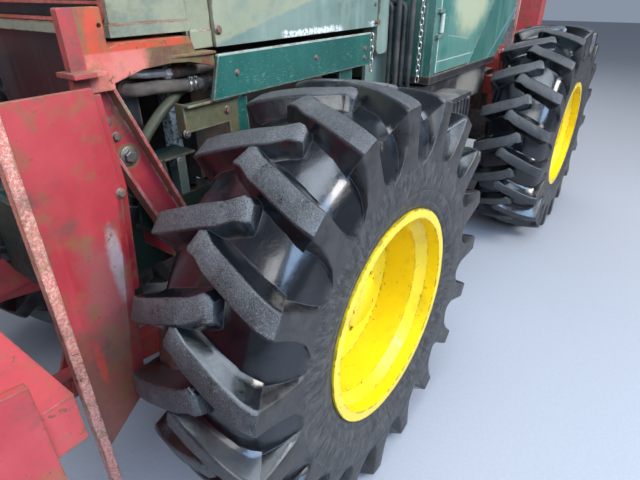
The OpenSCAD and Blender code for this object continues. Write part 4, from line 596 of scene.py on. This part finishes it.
def build_tyre(name, node, body, x, side):
    """The tyre's own detailed mesh: carcass, beads and two rows of bent lugs, as in the CAD solid.

    Its colour layers are tread (worn tops, dusty wall, end faces of the lugs) and polar (place on the wheel).
    """
    verts, faces, tread, polar = [], [], [], []

    def add(a, y, r, marks):
        verts.append((x + r * math.cos(a), side * (WHEEL_Y + y), TYRE_R + r * math.sin(a)))
        tread.append((*marks, 1))
        polar.append((math.cos(a) * 0.5 + 0.5, math.sin(a) * 0.5 + 0.5, r, 1))

    def face(*corners):
        faces.append(corners if side > 0 else tuple(reversed(corners)))

    outline = CARCASS + [(-y, r) for y, r in reversed(CARCASS[:-1])]
    n = len(outline)
    for k in range(CARCASS_STEPS):
        for y, r in outline:
            add(2 * math.pi * k / CARCASS_STEPS, y, r, (0, 1.0 if r < 0.56 else max(0, (0.60 - r) / 0.04), 0))
    for k in range(CARCASS_STEPS):
        j = (k + 1) % CARCASS_STEPS
        for i in range(n - 1):
            face(k * n + i, k * n + i + 1, j * n + i + 1, j * n + i)

    section = [(-c, h, extra, wear) for c, h, extra, wear in SECTION] + SECTION[::-1]
    stations = lug_stations()
    m = len(section)
    pitch = 2 * math.pi / LUGS
    for row, flip in ((0, 1), (1, -1)):
        for i in range(LUGS):
            centre = FIRST_LUG + (i + ROW_OFFSET * row) * pitch
            start = len(verts)
            for s in stations:
                nose = (1.0 if s.top_y < 0.03 else 0.72) if s.top_drop < 0.04 else 0.0
                for c, h, extra, wear in section:
                    y = s.root_y + (s.top_y - s.root_y) * h + s.skew * c
                    r = TYRE_R - (s.root_drop + (s.top_drop - s.root_drop) * h)
                    half = s.root_half + (s.top_half - s.root_half) * max(0, h) + extra * (1 - s.end)
                    marks = (wear * nose * (1 - s.end), 1.0 if r < 0.575 else 0.0, s.end if h > 0.5 else s.end * 0.3)
                    add((s.lead + c * half) / TYRE_R + centre, flip * y, r, marks)

            def quad(a, b, c, d):
                face(*((a, b, c, d) if flip > 0 else (a, d, c, b)))

            for k in range(len(stations) - 1):
                for q in range(m - 1):
                    a, b = start + k * m + q, start + (k + 1) * m + q
                    quad(a, a + 1, b + 1, b)
            first = [start + q for q in range(m)]
            last = [start + (len(stations) - 1) * m + q for q in range(m)]
            face(*(reversed(first) if flip > 0 else first))
            face(*(last if flip > 0 else reversed(last)))
    obj = mesh_object(name, verts, faces)
    for layer_name, values in (("tread", tread), ("polar", polar)):
        layer = obj.data.color_attributes.new(layer_name, "FLOAT_COLOR", "POINT")
        layer.data.foreach_set("color", np.array(values, np.float32).ravel())
    round_edges(obj, 0.003, SHARP)
    obj.data.materials.append(MATERIALS["tyre"])
    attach(obj, body)
    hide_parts(node)


SIDES = (("left", 1), ("right", -1))
WHEELS = [(f"{end}_{name}", x, side) for end, x in (("front", FRONT_AXLE_X), ("rear", REAR_AXLE_X))
          for name, side in SIDES]
for wheel, x, side in WHEELS:
    build_tyre(f"tyre_dressed_{wheel}", f"tyre_{wheel}", f"wheel_{wheel}", x, side)

# ---------------------------------------------------------------- fittings


class Batch:
    """Many small parts in one mesh."""

    def __init__(self):
        self.verts, self.faces = [], []

    def rings(self, rings, closed=False):
        """Rings of points joined to a tube, with flat ends unless it is closed on itself."""
        start, n, m = len(self.verts), len(rings[0]), len(rings)
        self.verts += [tuple(v) for ring in rings for v in ring]
        for i in range(m if closed else m - 1):
            a, b = start + i * n, start + (i + 1) % m * n
            for k in range(n):
                j = (k + 1) % n
                self.faces.append((a + k, a + j, b + j, b + k))
        if not closed:
            self.faces.append(tuple(start + k for k in reversed(range(n))))
            self.faces.append(tuple(start + (m - 1) * n + k for k in range(n)))

    def turned(self, at, axis, profile, sides, turn=0.0):
        """A turned part: rows of distance along the axis and radius."""
        at, axis = Vector(at), Vector(axis).normalized()
        u = axis.orthogonal().normalized()
        v = axis.cross(u)
        angles = [turn + 2 * math.pi * k / sides for k in range(sides)]
        self.rings([[at + axis * d + (u * math.cos(t) + v * math.sin(t)) * max(r, 0.0004) for t in angles]
                    for d, r in profile])

    def bolt(self, at, axis, size, turn=0.0, washer=1.4):
        """Hexagon bolt on its washer; size is half the width over the corners."""
        foot = [(-0.001, size * washer), (size * 0.18, size * washer), (size * 0.22, size * (washer - 0.08))]
        self.turned(at, axis, foot, 20)
        base = Vector(at) + Vector(axis).normalized() * size * 0.2
        self.turned(base, axis, [(0, size), (size * 0.6, size), (size * 0.72, size * 0.86)], 6, turn)

    def tube(self, path, radius, sides, closed=False):
        """A round bar along a path; radius may be one value or one per point."""
        path = [Vector(p) for p in path]
        m = len(path)
        radii = radius if isinstance(radius, list) else [radius] * m
        angles = [2 * math.pi * k / sides for k in range(sides)]
        u, rings = None, []
        for i in range(m):
            if closed:
                t = path[(i + 1) % m] - path[i - 1]
            else:
                t = path[min(i + 1, m - 1)] - path[max(i - 1, 0)]
            t.normalize()
            u = t.orthogonal() if u is None else u - t * u.dot(t)
            u.normalize()
            v = t.cross(u)
            rings.append([path[i] + radii[i] * (u * math.cos(a) + v * math.sin(a)) for a in angles])
        self.rings(rings, closed)

    def box(self, lo, hi):
        (x0, y0, _), (x1, y1, _) = lo, hi
        self.rings([[(x0, y0, z), (x1, y0, z), (x1, y1, z), (x0, y1, z)] for z in (lo[2], hi[2])])

    def both_sides(self):
        """Adds the mirror image of all that the batch holds, on the machine's right."""
        shift = len(self.verts)
        self.faces += [tuple(reversed([k + shift for k in face])) for face in self.faces]
        self.verts += [(x, -y, z) for x, y, z in self.verts]

    def finish(self, name, body, slot, material=None, bevel=0.0, angle=35, replaces=None):
        obj = mesh_object(name, self.verts, self.faces)
        round_edges(obj, bevel, math.radians(angle))
        obj.data.materials.append(material or MATERIALS[slot])
        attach(obj, body)
        if replaces:
            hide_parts(replaces)


def smooth_path(points, n=5):
    """Catmull-Rom curve through the points, as in the CAD source."""
    p = [Vector(q) for q in points]
    out = []
    for i in range(len(p) - 1):
        a, b, c, d = p[max(i - 1, 0)], p[i], p[i + 1], p[min(i + 2, len(p) - 1)]
        for k in range(n):
            t = k / n
            out.append(0.5 * (2 * b + (c - a) * t + (2 * a - 5 * b + 4 * c - d) * t * t
                              + (3 * b - a - 3 * c + d) * t * t * t))
    return out + [p[-1]]


def loop(lo, hi):
    """Points of a rectangle whose corners are rounded by 50 mm."""
    r, n = 0.05, 6
    corners = ((hi[0] - r, hi[1] - r), (lo[0] + r, hi[1] - r), (lo[0] + r, lo[1] + r), (hi[0] - r, lo[1] + r))
    angles = [[math.radians(90 * i + 90 * k / n) for k in range(n + 1)] for i in range(4)]
    return [(cx + r * math.cos(a), cy + r * math.sin(a)) for (cx, cy), turn in zip(corners, angles) for a in turn]


# Hub covers with their bolts, one on every wheel, and the valve stem in the rim's well
HUB_FACE = WHEEL_Y - 0.046
HUB_PROFILE = [(0.0, 0.225), (0.010, 0.225), (0.014, 0.221), (0.016, 0.172), (0.024, 0.160), (0.094, 0.149),
               (0.101, 0.143), (0.103, 0.112), (0.108, 0.104), (0.127, 0.101), (0.132, 0.094), (0.133, 0.0)]
# Rings of bolts: how many, first angle, radius, height on the cover, size
HUB_BOLTS = ((10, 0, 0.196, 0.014, 0.017), (8, 12, 0.126, 0.102, 0.008))
STEM_RADIUS, STEM_ANGLE = 0.325, 0.9
for wheel, x, side in WHEELS:
    hub = Batch()
    out = (0, side, 0)
    face = Vector((x, side * HUB_FACE, TYRE_R))
    hub.turned(face, out, HUB_PROFILE, 72)
    for count, first, radius, height, size in HUB_BOLTS:
        for k in range(count):
            a = math.radians(first + 360 * k / count)
            hub.bolt(face + Vector((radius * math.cos(a), side * height, radius * math.sin(a))), out, size, k)
    hub.turned(face + Vector((0.06, side * 0.132, 0)), out, [(0, 0.014), (0.008, 0.014), (0.010, 0.012)], 6)
    hub.finish(f"hub_cover_{wheel}", f"wheel_{wheel}", "rim_yellow", bevel=0.0015)
    stem = Batch()
    foot = Vector((x + STEM_RADIUS * math.cos(STEM_ANGLE), side * (WHEEL_Y + 0.05),
                   TYRE_R + STEM_RADIUS * math.sin(STEM_ANGLE)))
    bend, tip = Vector((-0.012, side * 0.03, -0.012)), Vector((-0.02, side * 0.065, -0.02))
    stem.tube([foot, foot + bend, foot + tip], [0.009, 0.006, 0.005], 12)
    stem.finish(f"valve_stem_{wheel}", f"wheel_{wheel}", "chain_steel")

# Bolts of the channel braces, guards, brackets, panels, cab and side tanks
CHANNEL_Y, CAB_Y = 0.485, 0.7
bolts = Batch()
for x, z in ((1.946, 1.570), (1.922, 1.523), (1.902, 1.476)):
    bolts.bolt((x, CHANNEL_Y, z), Y, 0.011, x * 9)
bolts.bolt((1.874, CHANNEL_Y, 1.411), Y, 0.019, 0.3, 1.6)
bolts.bolt((1.989, 0.6, 1.358), Y, 0.011, 0.8)
bolts.bolt((1.425, 0.35, 1.679), Z, 0.012, 0.4)
for x, y, z in ((1.478, 0.502, 1.475), (1.66, 0.497, 1.431)):
    bolts.bolt((x, y, z), Y, 0.011, x * 7)
for x, z in ((0.62, 1.6), (0.62, 1.56), (1.0, 1.6), (1.45, 1.6)):
    bolts.bolt((x, 0.54, z), Y, 0.008, x * 5)
for z in (1.84, 1.93, 2.02, 2.52):
    bolts.bolt((0.195, CAB_Y, z), Y, 0.006, z * 7)
for x in (-0.08, 0.2):
    for z in (1.1, 1.29):
        bolts.bolt((x, 0.82, z), Y, 0.008, z * 5)
bolts.both_sides()
bolts.finish("front_bolts", "front", "rusty_steel", BOLT)

# Hood: bolts, stops and the two lifting handles of each side
HOOD_Y = 0.5
fittings = Batch()
fittings.bolt((1.48, HOOD_Y, 1.733), Y, 0.011, 0.5)
fittings.bolt((0.47, HOOD_Y, 1.78), Y, 0.007, 0.5)
fittings.tube([(0.462, y, 1.702) for y in (0.498, 0.517, 0.521)], [0.009, 0.009, 0.013], 14)
for x in (0.62, 1.33):
    handle = [(x, HOOD_Y, 1.86), (x, 0.535, 1.862), (x + 0.02, 0.54, 1.862), (x + 0.1, 0.54, 1.862),
              (x + 0.12, 0.535, 1.862), (x + 0.12, HOOD_Y, 1.86)]
    fittings.tube(smooth_path(handle, 4), 0.006, 10)
fittings.both_sides()
fittings.finish("hood_fittings", "hood", "rusty_steel", BOLT)

louvres = Batch()
for k in range(7):
    x = 0.78 + 0.045 * k
    louvres.rings([[(x + d, 0.499, z), (x + d + 0.02, 0.499, z), (x + d + 0.02, 0.508, z + 0.001),
                    (x + d, HOOD_Y, z + 0.001)] for d, z in ((0, 1.83), (0, 1.9))])
louvres.both_sides()
louvres.finish("hood_louvres", "hood", "faded_green", bevel=0.0012)

# Blade: bolted cutting edge along its lower edge
EDGE_HALF, EDGE_BOLTS, EDGE_PITCH = 1.11, 15, 0.15
strip = Batch()
low, high, out = Vector((2.650, 0, 0.606)), Vector((2.602, 0, 0.680)), Vector((0.838, 0, 0.546))
depth = out * 0.012
section = (low, high, high + depth, low + depth)
strip.rings([[p + Vector((0, y, 0)) for p in section] for y in (-EDGE_HALF, EDGE_HALF)])
for k in range(EDGE_BOLTS):
    y = EDGE_PITCH * (k - (EDGE_BOLTS - 1) / 2)
    strip.bolt((low + high) / 2 + depth + Vector((0, y, 0)), out, 0.015, k)
strip.finish("cutting_edge", "blade", "rusty_steel", BOLT, bevel=0.002)

# Cab: seals of the fixed windows, then the grab rails with the gutters' bolts
SEAL = 0.009
seal = Batch()
seal.tube([(a, CAB_Y + 0.0005, b) for a, b in loop((-1.07, 1.855), (-0.83, 2.51))], SEAL, 8, True)
seal.both_sides()
seal.tube([(0.2155, a, b) for a, b in loop((-0.59, 1.99), (0.59, 2.56))], SEAL, 8, True)
seal.tube([(-1.1505, a, b) for a, b in loop((-0.585, 1.9), (0.585, 2.56))], SEAL, 8, True)
seal.finish("cab_seals", "front", "black_plastic")
rails = Batch()
rails.tube(smooth_path([(0.2, 0.695, 2.46), (0.225, 0.75, 2.45), (0.23, 0.755, 2.42), (0.23, 0.755, 2.1),
                        (0.225, 0.75, 2.07), (0.2, 0.695, 2.06)]), 0.012, 12)
for x in (-1.05, -0.6, -0.15):
    rails.bolt((x, 0.745, 2.66), Y, 0.009, x * 5)
rails.both_sides()
rails.finish("grab_rails", "front", "black_steel")

for name, side in SIDES:
    out = (0, side, 0)
    door = Batch()
    door.tube([(a, side * (CAB_Y + 0.0005), b) for a, b in loop((-0.685, 1.86), (0.075, 2.5))], SEAL, 8, True)
    door.finish(f"door_seal_{name}", f"door_{name}", "black_plastic")
    lock = Batch()
    lock.turned((-0.709, side * CAB_Y, 1.83), out, [(0, 0.022), (0.006, 0.022), (0.009, 0.019)], 24)
    for z in (1.88, 2.0):
        lock.bolt((-0.709, side * 0.74, z), out, 0.006)
    for z in (1.62, 2.3):
        lock.bolt((0.11, side * CAB_Y, z), out, 0.007, z)
    lock.finish(f"door_lock_{name}", f"door_{name}", "rusty_steel", BOLT)

# Work lamps: bezels and lenses
LAMP_Z = 2.805
BEZEL = [(-0.004, 0.052), (0.006, 0.053), (0.009, 0.050), (0.009, 0.044), (0.003, 0.043)]
LENS = [(0.001, 0.043), (0.004, 0.042), (0.008, 0.03), (0.010, 0.012), (0.0105, 0.0)]
bezels, lenses = Batch(), Batch()
for x, ys, way in ((0.315, (-0.56, -0.3, 0.3, 0.56), 1), (-1.16, (-0.5, 0.5), -1)):
    for y in ys:
        bezels.turned((x, y, LAMP_Z), (way, 0, 0), BEZEL, 32)
        lenses.turned((x, y, LAMP_Z), (way, 0, 0), LENS, 32)
bezels.finish("lamp_bezels", "front", "black_plastic")
lenses.finish("lamp_lenses", "front", "glass")

# Treads of the steps
STUD = [(-0.001, 0.010), (0.004, 0.009), (0.005, 0.006), (0.002, 0.005)]
treads = Batch()
for z in (0.53, 0.82):
    for k in range(9):
        for j in range(3):
            treads.turned((-0.09 + 0.038 * k, 0.69 + 0.04 * j, z), Z, STUD, 12)
treads.both_sides()
treads.finish("step_treads", "front", "black_steel")

# Wire rope wound on the winch drums
DRUM_X, DRUM_Z, DRUM_R, ROPE_R, ROPE_PITCH = -1.515, 1.42, 0.129, 0.0085, 0.017
TURNS, PER_TURN = 15, 30
for name, side in SIDES:
    rope = Batch()
    path = []
    for k in range(TURNS * PER_TURN + 1):
        a = 2 * math.pi * k / PER_TURN
        y = 0.054 + ROPE_PITCH * k / PER_TURN
        path.append((DRUM_X + DRUM_R * math.cos(a), side * y, DRUM_Z + DRUM_R * math.sin(a)))
    rope.tube(path, ROPE_R, 8)
    rope.finish(f"wound_rope_{name}", f"winch_drum_{name}", "rusty_steel", BOLT)

# ---------------------------------------------------------------- hoses

# As in the CAD source: rear of the radiator, face on its side where the hoses start, face of the engine's block
CORE, SIDE, BLOCK = 1.745, 0.3903, 0.2603
LOWER = [(CORE + 0.04, SIDE + 0.002, 1.58), (CORE + 0.04, 0.402, 1.58), (CORE + 0.035, 0.42, 1.58),
         (CORE + 0.021, 0.432, 1.581), (CORE - 0.004, 0.437, 1.581), (1.7, 0.439, 1.58), (1.6, 0.441, 1.572),
         (1.519, 0.445, 1.566), (1.44, 0.443, 1.562), (1.35, 0.42, 1.558), (1.29, 0.37, 1.555), (1.28, 0.31, 1.555),
         (1.28, BLOCK + 0.002, 1.555)]
UPPER = [(CORE + 0.02, SIDE + 0.002, 1.625), (CORE + 0.02, 0.402, 1.625), (CORE + 0.015, 0.42, 1.625),
         (CORE + 0.001, 0.432, 1.624), (CORE - 0.024, 0.438, 1.622), (1.616, 0.446, 1.616), (1.54, 0.446, 1.614),
         (1.47, 0.442, 1.612), (1.39, 0.412, 1.61), (1.335, 0.355, 1.608), (1.32, 0.3, 1.606),
         (1.32, BLOCK + 0.002, 1.606)]
DIAGONAL = [(CORE + 0.055, SIDE + 0.002, 1.4), (CORE + 0.055, 0.402, 1.4), (CORE + 0.051, 0.418, 1.405),
            (CORE + 0.038, 0.427, 1.419), (1.757, 0.43, 1.45), (1.7, 0.428, 1.497), (1.641, 0.42, 1.528),
            (1.6, 0.398, 1.541), (1.54, 0.371, 1.549), (1.47, 0.342, 1.552), (1.42, 0.312, 1.552),
            (1.402, 0.285, 1.552), (1.402, BLOCK + 0.002, 1.552)]


def hose(name, path, radius, material, sides=18):
    run = Batch()
    run.tube(path, radius, sides)
    run.finish(name, "front", "rubber_hose", material, replaces="hoses")


hose("hose_lower", smooth_path(LOWER), 0.0205, HOSE_DUSTY, 20)
# The upper run is a pipe with a nut up to this point, then a hose with a ferrule
SPLIT = 23
upper = smooth_path(UPPER)
pipe = Batch()
pipe.tube(upper[:SPLIT + 1], 0.0125, 18)
pipe.turned(upper[SPLIT], (-1, 0.03, -0.03), [(-0.012, 0.017), (0.0, 0.019), (0.014, 0.019), (0.018, 0.017)], 6)
pipe.finish("upper_pipe", "front", "chain_steel", PIPE)
hose("hose_upper", upper[SPLIT:], 0.0150, HOSE_DUSTY)
cuff = Batch()
FERRULE = [(0, 0.0165), (0.004, 0.0195), (0.012, 0.0195), (0.015, 0.0178), (0.022, 0.0178), (0.025, 0.0195),
           (0.033, 0.0195), (0.036, 0.0178), (0.044, 0.0178), (0.047, 0.0195), (0.052, 0.0195), (0.055, 0.0165)]
cuff.turned(upper[SPLIT] + Vector((-0.004, 0, 0)), (-1, 0.0, -0.02), FERRULE, 24)
cuff.finish("hose_ferrule", "front", "rusty_steel")
hose("hose_diagonal", smooth_path(DIAGONAL), 0.0175, HOSE_OLIVE)

BAND = [(0, 0.0215), (0.0005, 0.0235), (0.0105, 0.0235), (0.011, 0.0215)]
clamps = Batch()
for x in (1.558, 1.580):
    clamps.turned((x, 0.442, 1.5705), X, BAND, 30)
    clamps.box((x - 0.001, 0.447, 1.589), (x + 0.012, 0.462, 1.598))
    clamps.turned((x + 0.0055, 0.462, 1.5935), Y, [(0, 0.005), (0.006, 0.005)], 6)
clamps.finish("hose_clamps", "front", "chain_steel", bevel=0.0008)

SLEEVE = [(0, 0.0215), (0.0, 0.0265), (0.010, 0.0265), (0.012, 0.0245), (0.022, 0.0245), (0.024, 0.0265),
          (0.034, 0.0265), (0.034, 0.0215)]
coupling = Batch()
coupling.turned((1.498, 0.445, 1.566), X, SLEEVE, 30)
for x, z, r in ((CORE + 0.04, 1.58, 0.026), (CORE + 0.02, 1.625, 0.018), (CORE + 0.055, 1.4, 0.022)):
    coupling.turned((x, SIDE, z), Y, [(0, r), (0.011, r), (0.014, r - 0.002)], 24)
for x, z, r in ((1.28, 1.555, 0.026), (1.32, 1.606, 0.019), (1.402, 1.552, 0.022)):
    coupling.turned((x, BLOCK, z), Y, [(0, r), (0.016, r), (0.020, r - 0.002)], 6)
coupling.finish("hose_fittings", "front", "cast_grey", bevel=0.0008)

# Four corrugated hoses from the rear cowl down to the valve block, bent over at their upper ends
BEND, RIB, FOOT_Z = 0.03, 0.0045, 1.095
bundle, caps = Batch(), Batch()
for x, y, z in ((0.31, 0.506, 1.78), (0.31, 0.546, 1.83), (0.268, 0.56, 1.78), (0.268, 0.6, 1.83)):
    angles = [math.radians(t) for t in range(0, 91, 15)]
    bend = [Vector((x, y - BEND + BEND * math.sin(a), z - BEND + BEND * math.cos(a))) for a in angles]
    path = [Vector((x, 0.455, z)), *bend, Vector((x, y, FOOT_Z))]
    dense = []
    for a, b in zip(path, path[1:]):
        steps = max(1, int((b - a).length / RIB))
        dense += [a.lerp(b, k / steps) for k in range(steps)]
    dense.append(path[-1])
    bundle.tube(dense, [0.0150 if i % 2 else 0.0138 for i in range(len(dense))], 12)
    caps.turned((x, 0.4403, z), Y, [(0, 0.020), (0.026, 0.020), (0.030, 0.017)], 24)
    caps.turned((x, y, 1.0753), Z, [(0, 0.019), (0.024, 0.019), (0.026, 0.016), (0.056, 0.0165), (0.060, 0.0155)], 24)
bundle.finish("hose_bundle", "front", "rubber_hose", angle=60, replaces="hoses")
caps.finish("hose_caps", "front", "cast_grey", bevel=0.0008)

# ---------------------------------------------------------------- seat


def coordinates(mesh, field="co"):
    out = np.empty(len(mesh.vertices) * 3)
    mesh.vertices.foreach_get(field, out)
    return out.reshape(-1, 3)


def evaluated(obj):
    return bpy.data.meshes.new_from_object(obj.evaluated_get(bpy.context.evaluated_depsgraph_get()))


def cushion(name, corners, seam):
    """A padded form: a block blown up by a short run of cloth, then welted along its seam."""
    form = Batch()
    form.rings(corners)
    obj = mesh_object(name, form.verts, form.faces)
    bpy.context.view_layer.objects.active = obj
    rounded = obj.modifiers.new("round", "BEVEL")
    rounded.width, rounded.segments, rounded.limit_method = 0.03, 4, "NONE"
    remesh = obj.modifiers.new("remesh", "REMESH")
    remesh.mode = "VOXEL"
    remesh.voxel_size = 0.006
    start_mesh = evaluated(obj)
    obj.modifiers.clear()
    obj.data = start_mesh
    rest = coordinates(start_mesh)
    cloth = obj.modifiers.new("cloth", "CLOTH")
    settings = cloth.settings
    settings.quality, settings.mass = 5, 0.3
    settings.tension_stiffness = settings.compression_stiffness = 12
    settings.bending_stiffness = 0.6
    settings.use_pressure, settings.uniform_pressure_force = True, 4
    settings.effector_weights.gravity = 0
    cloth.collision_settings.use_collision = False
    cloth.collision_settings.use_self_collision = False
    for frame_number in range(1, CLOTH_FRAMES + 1):
        scene.frame_set(frame_number)
    final = coordinates(evaluated(obj))
    obj.modifiers.clear()
    scene.frame_set(1)
    delta = final - rest
    length = np.linalg.norm(delta, axis=1, keepdims=True)
    rest = rest + delta * np.minimum(1, BULGE / np.maximum(length, 1e-9))
    obj.data.vertices.foreach_set("co", rest.ravel())
    obj.data.update()
    soften = obj.modifiers.new("soften", "SMOOTH")
    soften.factor, soften.iterations = 0.5, 6
    divide = obj.modifiers.new("divide", "SUBSURF")
    divide.levels = divide.render_levels = 1
    obj.data.shade_smooth()
    obj.data.materials.append(MATERIALS["seat_fabric"])
    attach(obj, "front")
    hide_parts("seat_cushions")
    welt = Batch()
    welt.tube(seam, 0.005, 8, True)
    welt.finish(name + "_welt", "front", "black_plastic")


# Rear edge and top of the seat's base, half widths of its cushions, and how far they may bulge
SEAT_X, SEAT_Z = -0.505, 1.760
BOTTOM_HALF, BACK_HALF = 0.23, 0.22
BULGE, CLOTH_FRAMES = 0.024, 20
# The back leans: its rear face at its foot and at its top, from the seat's rear edge, and its thickness
LEAN, THICK = (0.0, -0.064), 0.085
bottom = [[(SEAT_X + x, y, SEAT_Z + z) for x, y in ((0.04, -BOTTOM_HALF), (0.42, -BOTTOM_HALF), (0.42, BOTTOM_HALF),
                                                    (0.04, BOTTOM_HALF))] for z in (0.018, 0.092)]
bottom_seam = [(SEAT_X + 0.23 + a, b, SEAT_Z + 0.028) for a, b in loop((-0.205, -0.247), (0.205, 0.247))]
cushion("seat_bottom", bottom, bottom_seam)
back_corners = ((LEAN[0], 0.13, -BACK_HALF), (LEAN[0], 0.13, BACK_HALF), (LEAN[1], 0.585, BACK_HALF),
                (LEAN[1], 0.585, -BACK_HALF))
back = [[(SEAT_X + x + d, y, SEAT_Z + z) for x, z, y in back_corners] for d in (0.0, THICK)]
back_seam = [(SEAT_X + 0.012 - 0.157 * (b - 0.12), a, SEAT_Z + b) for a, b in loop((-0.237, 0.115), (0.237, 0.6))]
cushion("seat_back", back, back_seam)
